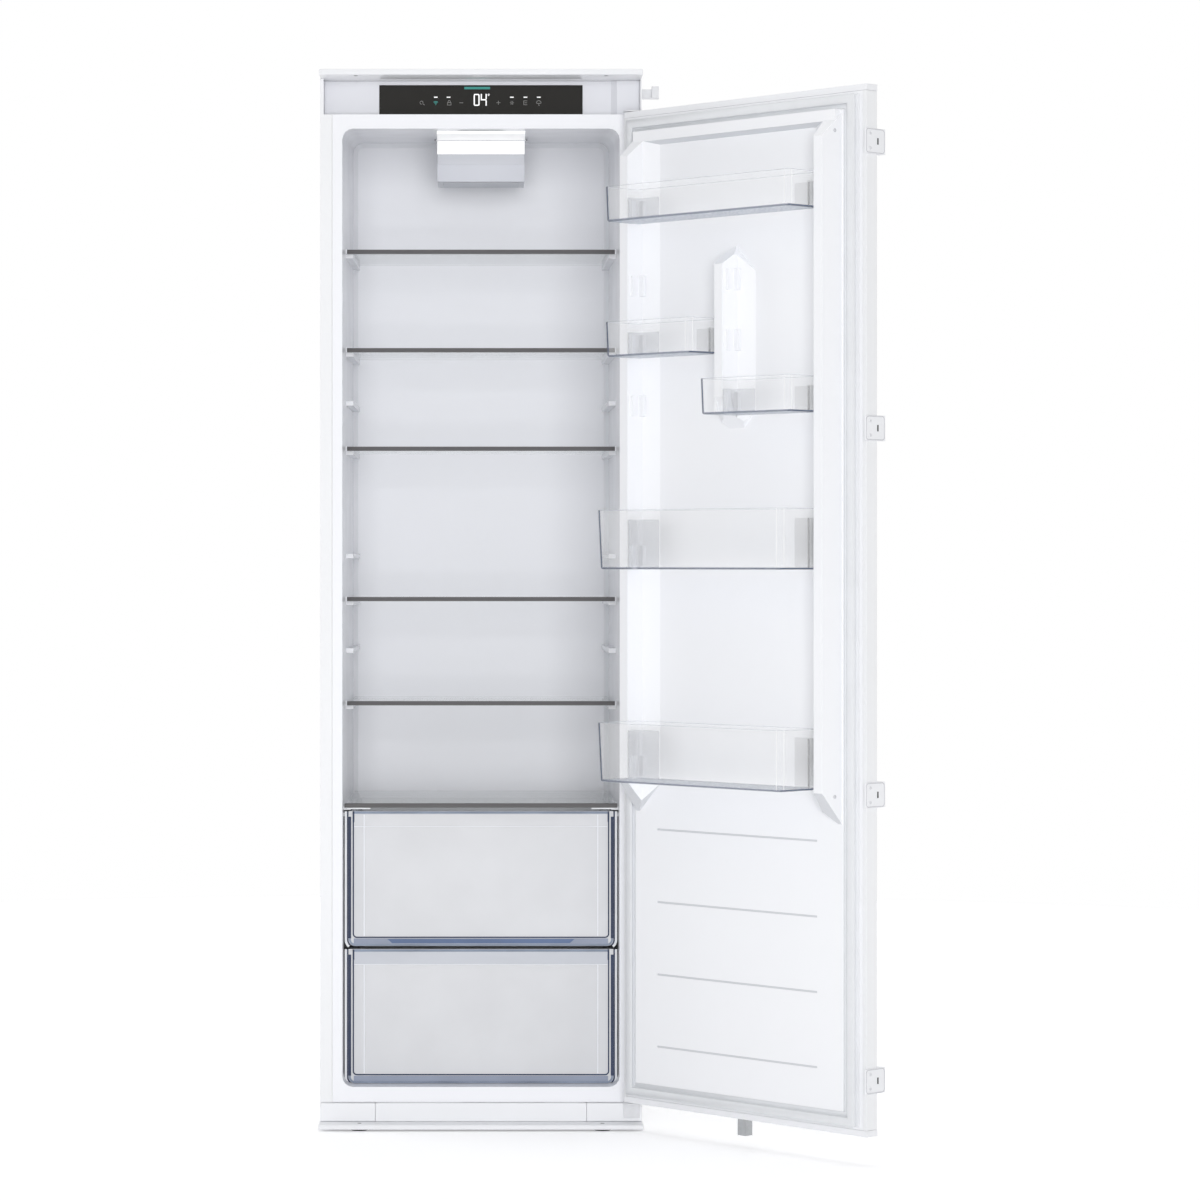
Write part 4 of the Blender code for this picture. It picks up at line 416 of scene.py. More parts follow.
def facing_alpha(finish, low, high, power=3.0):
    """Makes the surface more solid where it is seen edge on."""
    node = add_node(finish.tree, "MapRange", [("To Min", low), ("To Max", high)])
    finish.link(facing(finish, power), node.inputs["Value"])
    finish.link(node.outputs["Result"], finish.shader.inputs["Alpha"])


def glass_finish():
    """Clear safety glass with a faint green cast."""
    finish = Finish("safety_glass", srgb(234, 239, 239), 0.06)
    finish.mottle(4.0, 0.02)
    facing_alpha(finish, 0.08, 0.55, 2.0)
    return finish


def clear_finish(name, colour, low, high):
    """Clear moulded plastic, darker and more solid where it is seen edge on."""
    finish = Finish(name, colour, 0.10)
    pale = finish.ramp(finish.noise(8.0), (0.3, shade(colour, 0.97)), (0.7, shade(colour, 1.03)))
    mix = add_node(finish.tree, "Mix", [(7, srgb(70, 80, 100))], data_type="RGBA")
    finish.link(facing(finish, 3.0), mix.inputs[0])
    finish.link(pale, mix.inputs[6])
    finish.link(mix.outputs[2], finish.shader.inputs["Base Color"])
    facing_alpha(finish, low, high)
    return finish


def frost_finish():
    """Sparkling frosted plastic of the balcony floors."""
    finish = Finish("frosted_floor", srgb(206, 212, 222), 0.35)
    sparkle = finish.ramp(finish.noise(260.0), (0.36, srgb(176, 184, 200)),
                          (0.5, srgb(208, 214, 224)), (0.62, srgb(240, 242, 246)))
    finish.link(sparkle, finish.shader.inputs["Base Color"])
    finish.bump(260.0, 0.0004, 0.5)
    finish.set("Alpha", 0.72)
    return finish


def collect(name, mesh, finish, body):
    """Links a mesh as a piece that rides on body, with the finish named by finish when one is given.
    """
    obj = new_object(name, mesh)
    if finish:
        mesh.materials.clear()
        mesh.materials.append(MADE[finish])
    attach(obj, body)
    return obj


def soften(obj, width, segments=2, degrees=SHARP_DEGREES):
    """Rounds the sharp edges and evens the shading."""
    for polygon in obj.data.polygons:
        polygon.use_smooth = True
    if not width:
        obj.data.set_sharp_from_angle(angle=math.radians(degrees))
        return
    bevel = obj.modifiers.new("rounding", "BEVEL")
    bevel.width = width
    bevel.segments = segments
    bevel.limit_method = "ANGLE"
    bevel.angle_limit = math.radians(degrees)
    bevel.use_clamp_overlap = True
    even_shading(obj)


def even_shading(obj):
    normals = obj.modifiers.new("shading", "WEIGHTED_NORMAL")
    normals.keep_sharp = True


def welded(node):
    """A joined-up copy of a node's mesh with its flat faces whole."""
    work = bmesh.new()
    work.from_mesh(frame["nodes"][node].data)
    bmesh.ops.remove_doubles(work, verts=work.verts, dist=WELD)
    bmesh.ops.dissolve_limit(work, angle_limit=math.radians(FLAT_DEGREES), verts=work.verts,
                             edges=work.edges)
    for face in work.faces:
        face.material_index = 0
    mesh = bpy.data.meshes.new(node)
    work.to_mesh(mesh)
    work.free()
    return mesh


def refine(node, finish, width):
    """A rounded copy stands for the plain node."""
    body = frame["nodes"][node]["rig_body"]
    obj = collect(node + "_shell", welded(node), finish, body)
    soften(obj, width)
    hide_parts(node)


def dress(node, finish):
    """Gives a node that stays a better material."""
    for slot in frame["nodes"][node].material_slots:
        slot.material = MADE[finish]


def world_point(x, y, z):
    return (x, y, z)


def door_point(u, v, z):
    """A door point in the open rest pose."""
    x, y = PIVOT_TO_EDGE - u, v + PIVOT_TO_FLANGE
    turn = math.radians(OPEN_DEGREES)
    return (PIVOT[0] + x * math.cos(turn) - y * math.sin(turn),
            PIVOT[1] + x * math.sin(turn) + y * math.cos(turn), z)


def section_point(axis, a, b, c):
    """The point at c along axis of a section, given in (x, z) for axis y and (y, z) for x."""
    return (a, c, b) if axis == "y" else (c, a, b)


def unit(degrees):
    return math.cos(math.radians(degrees)), math.sin(math.radians(degrees))


def arc(a, b, radius, start, end, steps=10):
    """Points round (a, b) from start to end in degrees."""
    spokes = [unit(start + (end - start) * k / steps) for k in range(steps + 1)]
    return [(a + radius * c, b + radius * s) for c, s in spokes]


def circle(radius, steps):
    return arc(0.0, 0.0, radius, 0, 360, steps)[:-1]


class Shape:
    """Collects closed bodies into one mesh. Points go through place into the world."""

    def __init__(self, place=world_point):
        self.place = place
        self.points = []
        self.faces = []
        self.marks = []

    def add(self, points, faces, marks):
        start = len(self.points)
        self.points += [self.place(*point) for point in points]
        self.faces += [tuple(start + index for index in face) for face in faces]
        self.marks += marks

    def box(self, low, high, mark=0):
        spans = [sorted(ends) for ends in zip(low, high)]
        corners = [(x, y, z) for z in spans[2] for y in spans[1] for x in spans[0]]
        self.add(corners, [(0, 2, 3, 1), (4, 5, 7, 6), (0, 1, 5, 4), (2, 6, 7, 3),
                           (0, 4, 6, 2), (1, 3, 7, 5)], [mark] * 6)

    def loft(self, rings, mark=0, marks=None, closed=False):
        """Skins rings of as many points each, with a cap at both ends unless closed."""
        count = len(rings[0])
        levels = len(rings) if closed else len(rings) - 1
        marks = marks or [mark] * levels
        faces = []
        for level in range(levels):
            low, high = level * count, (level + 1) % len(rings) * count
            for k in range(count):
                after = (k + 1) % count
                faces.append((low + k, low + after, high + after, high + k))
        face_marks = [marks[level] for level in range(levels) for k in range(count)]
        if not closed:
            faces += [tuple(range(count)), tuple(range(levels * count, (levels + 1) * count))]
            face_marks += [marks[0], marks[-1]]
        self.add([point for ring in rings for point in ring], faces, face_marks)

    def prism(self, outline, low, high, axis="y", mark=0):
        """Extrudes a 2D outline from low to high along axis."""
        self.loft([[section_point(axis, a, b, c) for a, b in outline] for c in (low, high)], mark)

    def ribbon(self, path, width, low, high, axis="y", mark=0, closed=False):
        """A strip of even width along a 2D path, extruded from low to high along axis."""
        left, right = (offset_path(path, side * width / 2, closed) for side in (1, -1))
        rings = [[section_point(axis, *point, c)
                  for point, c in ((r, low), (l, low), (l, high), (r, high))]
                 for l, r in zip(left, right)]
        self.loft(rings, mark, closed=closed)

    def turned(self, profile, centre, axis="z", steps=24):
        """A lathe form from (radius, height) pairs."""
        rings = []
        for radius, height in profile:
            ring = []
            for a, b in circle(radius, steps):
                offset = {"z": (a, b, height), "y": (a, height, b), "x": (height, a, b)}[axis]
                ring.append(tuple(c + o for c, o in zip(centre, offset)))
            rings.append(ring)
        self.loft(rings)

    def tube(self, path, radius, steps=12):
        """A round tube along 3D points."""
        points = [Vector(point) for point in path]
        across = (points[1] - points[0]).orthogonal()
        rings = []
        for k, point in enumerate(points):
            ahead = (points[min(k + 1, len(points) - 1)] - points[max(k - 1, 0)]).normalized()
            across = (across - ahead * across.dot(ahead)).normalized()
            up = ahead.cross(across)
            rings.append([tuple(point + a * across + b * up) for a, b in circle(radius, steps)])
        self.loft(rings)

    def screw(self, centre, out, radius=0.0035, height=0.0016):
        """A pan head with a cross recess, standing on centre along out."""
        out = Vector(out).normalized()
        across = out.orthogonal().normalized()
        up = out.cross(across)
        edge, cross = [], []
        for arm in range(4):
            edge += [unit(arm * 90.0 + turn) for turn in (-22.0, 22.0, 45.0)]
            c, s = unit(arm * 90.0)
            for a, b in ((0.58, -0.13), (0.58, 0.13), (0.15, 0.15)):
                cross.append((a * c - b * s, a * s + b * c))
        levels = [(edge, 1.0, 0.0), (edge, 1.0, 0.35), (edge, 0.88, 0.75), (edge, 0.70, 1.0),
                  (cross, 1.0, 1.0), (cross, 0.8, 0.35)]
        self.loft([[tuple(Vector(centre) + out * height * rise + radius * grow * (a * across + b * up))
                    for a, b in ring] for ring, grow, rise in levels])

    def mesh(self, name, *finishes):
        """The mesh with a finish for each mark."""
        mesh = bpy.data.meshes.new(name)
        mesh.from_pydata(self.points, [], self.faces)
        work = bmesh.new()
        work.from_mesh(mesh)
        bmesh.ops.recalc_face_normals(work, faces=work.faces)
        work.to_mesh(mesh)
        work.free()
        for finish in finishes:
            mesh.materials.append(MADE[finish])
        mesh.polygons.foreach_set("material_index", self.marks)
        return mesh

    def piece(self, name, *finishes, slot=None, body="cabinet", width=0.0, degrees=SHARP_DEGREES,
              replaces=None):
        """Makes the piece with a finish for each mark. The slot argument is not used."""
        obj = collect(name, self.mesh(name, *finishes), None, body)
        soften(obj, width, degrees=degrees)
        if replaces:
            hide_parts(replaces)


def offset_path(path, distance, closed=False):
    """Moves a 2D path sideways with mitred corners."""
    count = len(path)
    moved = []
    for k, (a, b) in enumerate(path):
        sides = []
        for i, j in ((k - 1, k), (k, k + 1)):
            if not closed and (i < 0 or j >= count):
                continue
            (a0, b0), (a1, b1) = path[i % count], path[j % count]
            length = math.hypot(a1 - a0, b1 - b0)
            sides.append((-(b1 - b0) / length, (a1 - a0) / length))
        na, nb = sum(s[0] for s in sides), sum(s[1] for s in sides)
        length = math.hypot(na, nb)
        na, nb = na / length, nb / length
        reach = distance / max(na * sides[0][0] + nb * sides[0][1], MITRE_LIMIT)
        moved.append((a + na * reach, b + nb * reach))
    return moved


def rounded(corners, radius, steps=6):
    """Rounds each corner of a closed 2D outline. radius is one number or one per corner."""
    radii = radius if isinstance(radius, (list, tuple)) else [radius] * len(corners)
    outline = []
    for k, corner in enumerate(corners):
        if radii[k] <= 0.0:
            outline.append(tuple(corner))
            continue
        before, after = Vector(corners[k - 1]), Vector(corners[(k + 1) % len(corners)])
        here = Vector(corner)
        to_before, to_after = (before - here).normalized(), (after - here).normalized()
        half = to_before.angle(to_after) / 2
        reach = radii[k] / math.tan(half)
        start, end = here + to_before * reach, here + to_after * reach
        centre = here + (to_before + to_after).normalized() * radii[k] / math.sin(half)
        for step in range(steps + 1):
            spoke = (start - centre).lerp(end - centre, step / steps)
            outline.append(tuple(centre + spoke.normalized() * radii[k]))
    return outline


def rectangle(low_a, high_a, low_b, high_b):
    return [(low_a, low_b), (high_a, low_b), (high_a, high_b), (low_a, high_b)]


def make_display_marks():
    """Lit dashes, digits and plain signs behind the smoked panel."""
    low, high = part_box("display_panel")
    middle = (low.z + high.z) / 2
    front, back = low.y - MARK_PROUD, low.y + MARK_SUNK

    def bar(shape, x, z, width, height):
        shape.prism(rectangle(x - width / 2, x + width / 2, middle + z - height / 2,
                              middle + z + height / 2), front, back)

    def line(shape, path, width=SIGN_LINE, closed=False):
        shape.ribbon([(x, middle + z) for x, z in path], width, front, back, closed=closed)

    white = Shape()
    for x in DASH_X:
        bar(white, x, 0.0047, *DASH_SIZE)
    line(white, rounded(rectangle(-0.0113, -0.0033, -0.0088, 0.0093), 0.0016, 3), DIGIT_LINE, True)
    for path in ([(0.0006, 0.0103), (0.0006, 0.0004), (0.0088, 0.0004)],
                 [(0.0088, 0.0103), (0.0088, 0.00145)], [(0.0088, -0.00065), (0.0088, -0.0098)]):
        line(white, path, DIGIT_LINE)
    line(white, arc(0.0130, 0.0088, 0.0013, 0, 330), 0.0008)
    white.piece("display_digits", "mark_white", slot="display_panel")

    teal = Shape()
    bar(teal, -0.0063, 0.0201, 0.0434, 0.0040)
    for radius in (0.0016, 0.0034, 0.0052):
        line(teal, arc(DASH_X[0], -0.0076, radius, 45, 135), 0.0010)
    teal.turned([(0.0007, 0.0), (0.0007, front - back)], (DASH_X[0], back, middle - 0.0078), "y", 12)
    teal.piece("display_bar", "mark_teal", slot="display_panel")

    grey = Shape()
    line(grey, rectangle(-0.0565, -0.0505, -0.0085, -0.0044), closed=True)
    for x, z, width, height in ((-0.0333, -0.0047, 0.0066, SIGN_LINE),
                                (0.0294, -0.0047, 0.0066, SIGN_LINE),
                                (0.0294, -0.0028, SIGN_LINE, 0.0028),
                                (0.0294, -0.0066, SIGN_LINE, 0.0028),
                                (0.0756, -0.0047, 0.0040, SIGN_LINE)):
        bar(grey, x, z, width, height)
    paths = [arc(-0.1003, -0.0044, 0.0026, -40, 290), [(-0.0979, -0.0066), (-0.0952, -0.0085)],
             [(-0.0555, -0.0038)] + arc(-0.0535, -0.0028, 0.0020, 180, 0, 8) + [(-0.0515, -0.0038)],
             [(0.0780, -0.0014), (0.0722, -0.0014), (0.0722, -0.0080), (0.0780, -0.0080)],
             arc(0.0975, -0.0050, 0.0040, 180, 0), [(0.0935, -0.0056), (0.1015, -0.0056)],
             [(0.0975, -0.0062), (0.0975, -0.0092), (0.0990, -0.0092)]]
    for turn in range(0, 360, 60):
        a, b = unit(turn)
        paths.append([(0.0521 + a * ray, -0.0047 + b * ray) for ray in (0.0009, 0.0036)])
    for path in paths:
        line(grey, path)
    grey.piece("display_icons", "mark_grey", slot="display_panel")


def make_ledge_screws():
    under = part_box("top_ledge")[0].z
    shape = Shape()
    for x in (-LEDGE_SCREW_X, LEDGE_SCREW_X):
        shape.screw((x, LEDGE_SCREW_Y, under), (0, 0, -1), 0.0034, 0.0012)
    shape.piece("ledge_screws", "zinc_steel")


def make_housing_fillers():
    """Strips beside the control housing and a thin sill over the foam under its front, in the
    housing's colour with its painted shade.
    """
    low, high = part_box("control_housing")
    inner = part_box("side_panel_right")[1].x - SHEET - GAP
    fillers = Shape()
    for start, end in ((-inner, low.x - GAP), (high.x + GAP, inner)):
        fillers.box((start, low.y + 0.0005, low.z + 0.0002), (end, low.y + 0.0200, high.z - 0.0005))
    fillers.piece("housing_fillers", "housing_painted_shade", slot="white_plastic")
    liner_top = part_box("inner_liner")[1].z
    sill = Shape()
    sill.box((-inner, FLANGE_BACK_Y, liner_top - 0.0001), (inner, low.y + 0.0050, liner_top + 0.0004))
    sill.piece("housing_sill", "housing_painted_shade", slot="white_plastic")


def make_lamp():
    """The lit cover, a little narrower at its front edge."""
    mesh = welded("lamp_diffuser")
    low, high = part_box("lamp_diffuser")
    for vertex in mesh.vertices:
        share = (vertex.co.y - low.y) / (high.y - low.y)
        vertex.co.x *= 0.985 + 0.022 * share
    obj = collect("lamp_diffuser_shell", mesh, "lamp_diffuser", "cabinet")
    soften(obj, 0.0008)
    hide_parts("lamp_diffuser")


def make_lamp_details():
    """A bar under the lamp's front edge, grey as painted shade along that edge, and the diffuser's two
    pivot pins.
    """
    low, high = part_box("lamp_diffuser")
    seam = Shape()
    seam.box((low.x - 0.0004, low.y - 0.0006, low.z - 0.0004),
             (high.x + 0.0004, low.y + 0.0012, low.z + 0.0009))
    seam.piece("lamp_painted_shade_bar", "grey_and_painted_shade_plastic", slot="white_plastic", width=0.0002)
    pins = Shape()
    for x, sign in ((low.x, -1), (high.x, 1)):
        pins.turned([(0.0011, 0.0), (0.0011, sign * 0.0016), (0.0006, sign * 0.0022)],
                    (x + sign * 0.0005, low.y + 0.0025, low.z + 0.0016), "x", 12)
    pins.piece("lamp_pins", "black_plastic")


def make_airflow_details():
    """The stepped front cover of the airflow unit and the louvres under it."""
    low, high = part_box("airflow_housing")
    front = low.y
    profile = [(front + 0.0004, low.z + 0.0004), (front - 0.0016, low.z + 0.0004),
               (front - 0.0020, low.z + 0.0010), (front - 0.0014, AIRFLOW_STEP_Z - 0.0006),
               (front - 0.0008, AIRFLOW_STEP_Z), (front + 0.0004, AIRFLOW_STEP_Z)]
    cover = Shape()
    cover.prism(profile, low.x - 0.0002, high.x + 0.0002, "x")
    cover.piece("airflow_front_cover", "airflow_cover_grey_and_painted_shade", slot="liner_plastic", width=0.0003)
    louvres = Shape()
    pitch = (high.y - low.y - LOUVRE_MARGIN) / AIRFLOW_LOUVRES
    for k in range(AIRFLOW_LOUVRES):
        y = low.y + LOUVRE_START + pitch * k
        blade = [(y, low.z + 0.0004), (y + 0.0018, low.z - 0.0016), (y + 0.0034, low.z - 0.0016),
                 (y + 0.0034, low.z + 0.0004)]
        louvres.prism(blade, low.x + 0.010, high.x - 0.010, "x")
    louvres.piece("airflow_louvres", "airflow_grey_and_painted_shade", slot="liner_plastic", width=0.0002)


def make_wall_marks():
    """Small moulded angles on the liner's back wall."""
    front, back = BACK_WALL_Y - 0.0007, BACK_WALL_Y + 0.0002
    shape = Shape()
    for x, sign in ((-0.195, 1), (0.186, -1)):
        shape.box((x, front, 0.777), (x + sign * 0.009, back, 0.7782))
        shape.box((x, front, 0.7682), (x + sign * 0.0012, back, 0.777))
    shape.piece("wall_marks", "liner_plastic")


def make_base_seam():
    """The lip over the plinth."""
    low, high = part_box("plinth_panel")
    shape = Shape()
    shape.box((low.x, high.y - 0.0004, high.z - 0.0014), (high.x, -GAP, high.z + 0.0001))
    shape.piece("plinth_seam", "white_plastic", width=0.0002)


def half_round(shape, start, end, radius, rise, out):
    """A bead with a low rounded section from start to end, standing on a wall along out."""
    start, end, out = Vector(start), Vector(end), Vector(out)
    along = (end - start).normalized()
    across = along.cross(out)
    rings = []
    for point, grow in ((start, 0.3), (start + along * radius, 1.0), (end - along * radius, 1.0),
                        (end, 0.3)):
        rings.append([tuple(point + across * radius * grow * a + out * (rise * grow * b))
                      for a, b in arc(0.0, 0.0, 1.0, 0, 180, 8)])
    shape.loft(rings)


def make_rear_details():
    """Beads and screws of the rear panel and the clips that hold the condenser."""
    low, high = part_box("rear_panel")
    beads = Shape()
    for x in BEAD_X:
        half_round(beads, (x, high.y, low.z + 0.050), (x, high.y, high.z - 0.060), 0.006, 0.0016,
                   (0, 1, 0))
    beads.piece("rear_beads", "zinc_steel")
    screws = Shape()
    places = [(x, low.z + 0.020 + (high.z - low.z - 0.040) * k / 6)
              for k in range(7) for x in (low.x + 0.009, high.x - 0.009)]
    places += [(x, high.z - 0.012) for x in (-0.17, -0.06, 0.06, 0.17)]
    for x, z in places:
        screws.screw((x, high.y, z), (0, 1, 0))
    screws.piece("rear_screws", "bright_zinc", slot="zinc_steel")
    clips = Shape()
    first, last = CONDENSER_Z
    for k in range(CONDENSER_RUNS):
        z = first + (last - first) * k / (CONDENSER_RUNS - 1)
        loop = arc(high.y + WIRE_STANDOFF, z, 0.0034, 90, -90, 6)
        for x in (-CONDENSER_RAIL_X, CONDENSER_RAIL_X):
            clips.ribbon(loop, 0.0009, x - 0.0035, x + 0.0035, "x")
    clips.piece("condenser_clips", "black_steel")


def smooth_path(points, steps=6):
    """A Catmull-Rom curve through 3D points."""
    points = [Vector(p) for p in points]
    ends = [points[0] * 2 - points[1]] + points + [points[-1] * 2 - points[-2]]
    path = []
    for a, b, c, d in zip(ends, ends[1:], ends[2:], ends[3:]):
        for k in range(steps):
            t = k / steps
            path.append(0.5 * (2 * b + (c - a) * t + (2 * a - 5 * b + 4 * c - d) * t * t
                               + (3 * b - a - 3 * c + d) * t ** 3))
    return path + [points[-1]]


def make_niche_sheet():
    """Thin sheet over the foam in the compressor's recess, with its screws."""
    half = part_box("rear_panel")[1].x
    wall_y, roof_z = NICHE_FRONT_Y + 0.0007, NICHE_TOP_Z - 0.0007
    shape = Shape()
    shape.ribbon([(wall_y, 0.0405), (wall_y, roof_z), (BACK_Y - 0.0012, roof_z)], SHEET,
                 -half + 0.001, half - 0.001, "x")
    for x in (-half + 0.030, -0.100, 0.100, half - 0.030):
        shape.screw((x, NICHE_FRONT_Y + 0.0012, 0.190), (0, 1, 0))
    shape.piece("niche_sheet", "zinc_steel")


def make_compressor_details():
    """Copper pipes, the drier, the pan over the compressor and the nuts on its feet."""
    low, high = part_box("compressor")
    pipes = Shape()
    for radius, points in PIPES:
        pipes.tube(smooth_path(points), radius)
    pipes.turned(DRIER_PROFILE, DRIER_CENTRE, "z", 18)
    pipes.piece("copper_pipes", "copper", slot="zinc_steel")
    pan = Shape()
    floor_z, rim_z = high.z + 0.003, high.z + 0.024
    corners = rectangle(low.x - 0.004, high.x - 0.030, 0.336, 0.444)
    rings = []
    for z, inward, radius in ((floor_z, 0.006, 0.010), (floor_z + 0.004, 0.002, 0.014),
                              (rim_z, 0.0, 0.016), (rim_z, 0.0018, 0.0142),
                              (floor_z + 0.005, 0.0038, 0.012), (floor_z + 0.0018, 0.0075, 0.0085)):
        rings.append([(x, y, z) for x, y in rounded(offset_path(corners, inward, True), radius, 5)])
    pan.loft(rings)
    pan.piece("drip_pan", "black_plastic")
    nuts = Shape()
    for side_x in (-1, 1):
        for side_y in (-1, 1):
            x = COMPRESSOR_CENTRE[0] + side_x * NUT_REACH[0]
            y = COMPRESSOR_CENTRE[1] + side_y * NUT_REACH[1]
            nuts.screw((x, y, low.z + 0.0300), (0, 0, 1), 0.0055, 0.0030)
    nuts.piece("compressor_nuts", "bright_zinc", slot="zinc_steel")


def make_top_screws():
    """Screws of the top panel."""
    low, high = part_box("top_panel")
    shape = Shape()
    for x in (low.x + 0.014, high.x - 0.014):
        for y in (low.y + 0.020, (low.y + high.y) / 2, high.y - 0.020):
            shape.screw((x, y, high.z), (0, 0, 1))
    shape.piece("top_screws", "bright_zinc", slot="zinc_steel")


def make_slide_details():
    """A slot, a rim and two screws on each sliding bracket, and the caps on the door liner's leg. The
    rim is grey for the gap line round the bracket and the painted shade under it.
    """
    slots, screws, rims, caps = (Shape(door_point) for k in range(4))
    face = DOOR_WIDTH + GAP + 0.0030
    for k in range(1, 5):
        low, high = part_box(f"slide_bracket_{k}")
        middle = (low.z + high.z) / 2
        slots.box((face - 0.0002, -0.0245, middle - 0.0050), (face + 0.0003, -0.0215, middle + 0.0050))
        outline = rounded(rectangle(-0.0385, 0.0045, low.z + 0.0015, high.z - 0.0015), 0.005, 4)
        path = [(face, v, z) for v, z in outline]
        rims.tube(path + path[:1], 0.0008, 8)
        for z in (-0.0115, 0.0115):
            screws.screw((face, -0.0050, middle + z), (1, 0, 0), 0.0030, 0.0012)
    for z in LEG_CAP_Z:
        caps.turned([(0.0030, -0.0006), (0.0030, 0.0006), (0.0018, 0.0011), (0.0006, 0.0012)],
                    (0.4936, 0.0280, z), "x", 16)
    slots.piece("slide_slots", "black_plastic", body="door")
    rims.piece("slide_rims", "grey_and_painted_shade_plastic", body="door", slot="white_plastic")
    screws.piece("slide_screws", "bright_zinc", body="door", slot="zinc_steel")
    caps.piece("leg_caps", "grey_and_painted_shade_plastic", body="door", slot="white_plastic")


def make_runner_caps():
    """Light caps on the liner beside each shelf's front trim."""
    shape = Shape()
    for number in range(1, 6):
        low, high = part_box(f"shelf_{number}_trim")
        for edge, sign in ((low.x, -1), (high.x, 1)):
            shape.box((edge + sign * CAP_NEAR, low.y + 0.0010, low.z - 0.0008),
                      (edge + sign * CAP_FAR, low.y + 0.0120, high.z + 0.0008))
    shape.piece("runner_caps", "liner_plastic", width=0.0006)


def make_cover_clips():
    """The two light clips under the crisper cover's trim."""
    low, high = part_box("crisper_cover_trim")
    shape = Shape()
    for sign in (-1, 1):
        shape.box((sign * (high.x - 0.004), low.y + 0.0006, low.z - 0.0026),
                  (sign * (high.x - 0.044), low.y + 0.0102, low.z - 0.0001))
    shape.piece("cover_clips", "clip_plastic", body="crisper_cover", slot="clear_plastic",
                width=0.0005)


def bin_ring(half, front_y, back_y, z, radius):
    return [(x, y, z) for x, y in rounded(rectangle(-half, half, front_y, back_y), radius, 5)]


def make_bin(node, body):
    """A clear crisper: a lofted bin with a hanging flange behind a front plate."""
    low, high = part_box(node)
    wide, back, rim = high.x, high.y, high.z - 0.003
    half = wide - BIN_FLANGE
    bin_front = low.y + 0.0035
    inner_front = low.y + PLATE + BIN_WALL

    def bend(front_y, size, inward, floor_z, radius):
        """Rings round the bin's lower edge, from the floor up to the wall."""
        rings = []
        for share in (0.0, 0.35, 0.7, 1.0):
            turn = share * math.pi / 2
            shrink = size * (1 - math.sin(turn)) + inward
            rings.append(bin_ring(half - shrink, front_y, back - shrink + 0.003,
                                  floor_z + size * (1 - math.cos(turn)), radius))
        return rings

    rings = bend(bin_front, 0.009, 0.003, low.z + 0.0004, 0.011)
    rings += [bin_ring(half, bin_front, back, rim, 0.012),
              bin_ring(wide - 0.0003, bin_front, back, rim, 0.012),
              bin_ring(wide - 0.0003, bin_front, back, high.z, 0.012),
              bin_ring(half - BIN_WALL, inner_front, back - BIN_WALL, high.z, 0.0095)]
    rings += reversed(bend(inner_front, 0.008, 0.0055, low.z + 0.0030, 0.009))
    marks = [0] * (len(rings) - 1)
    marks[5] = 1
    shape = Shape()
    shape.loft(rings, marks=marks)
    outline = rounded(rectangle(-wide, wide, low.z, high.z), [PLATE_CORNER, PLATE_CORNER, 0.0, 0.0])
    shape.prism(outline, low.y, low.y + PLATE)
    shape.piece(node + "_bin", "drawer_plastic", "clear_edge", body=body, slot="clear_plastic",
                width=0.0005, replaces=node)


def make_bin_edges(node, body, deep_band):
    """Lines and bands where the front plate's thick edges show through its face, and on the lower
    drawer a band of painted shade under its top.
    """
    low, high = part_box(node)
    wide = high.x
    face, proud = low.y + 0.0001, low.y - 0.0003
    lines = Shape()

    def strip(path, width, mark, lift=0.0):
        lines.ribbon(path, width, proud + lift, face, mark=mark)

    def band(half, low_z, high_z, mark, lift=0.0):
        lines.prism(rectangle(-half, half, low_z, high_z), proud + lift, face, mark=mark)

    for sign in (-1, 1):
        x = sign * (wide - 0.0023)
        strip([(x, low.z + 0.013), (x, high.z - 0.0095)], 0.0044, 0)
        upper = sign * (wide - 0.0085)
        strip([(upper, high.z - 0.0185), (upper, high.z - 0.0015)], 0.0030, 0, -0.0001)
        bend = arc(wide - 0.0113, low.z + 0.011, 0.0090, 0, -90, 6)
        corner = [(x, low.z + 0.013)] + [(sign * a, z) for a, z in bend] + [(0.0, low.z + 0.0020)]
        strip(corner, 0.0034, 1)
    inner = wide - 0.0082
    base = low.z + 0.0147
    path = [(-inner, high.z - 0.0005)] + arc(-inner + 0.006, base + 0.006, 0.006, 180, 270, 6)
    strip(path + [(-x, z) for x, z in reversed(path)], 0.0023, 0)
    band(wide - 0.009, low.z + 0.0038, low.z + 0.0128, 2)
    if deep_band:
        lines.prism([(-0.150, low.z + 0.0048), (0.150, low.z + 0.0048), (0.158, low.z + 0.0118),
                     (-0.158, low.z + 0.0118)], proud - 0.0002, face, mark=3)
    band(wide - 0.008, high.z - 0.0046, high.z - 0.0006, 4)
    seam_z = high.z - 0.0262
    strip([(-wide + 0.010, seam_z), (wide - 0.010, seam_z)], 0.0010, 5, 0.0001)
    line_top = high.z - (0.006 if deep_band else 0.0268)
    for x in (-wide + 0.0265, wide - 0.0265):
        strip([(x, base + 0.002), (x, line_top)], 0.0018, 5, 0.0002)
    # Painted shade: a grey band under the lower drawer's top, for its shaded upper inside seen through
    # the plate
    if not deep_band:
        band(wide - 0.010, high.z - 0.0256, high.z - 0.0050, 6, 0.0002)
    lines.piece(node + "_edges", "line_dark", "line_grey", "band_grey", "band_blue", "line_grey",
                "line_soft", "band_painted_shade", body=body, slot="clear_plastic")


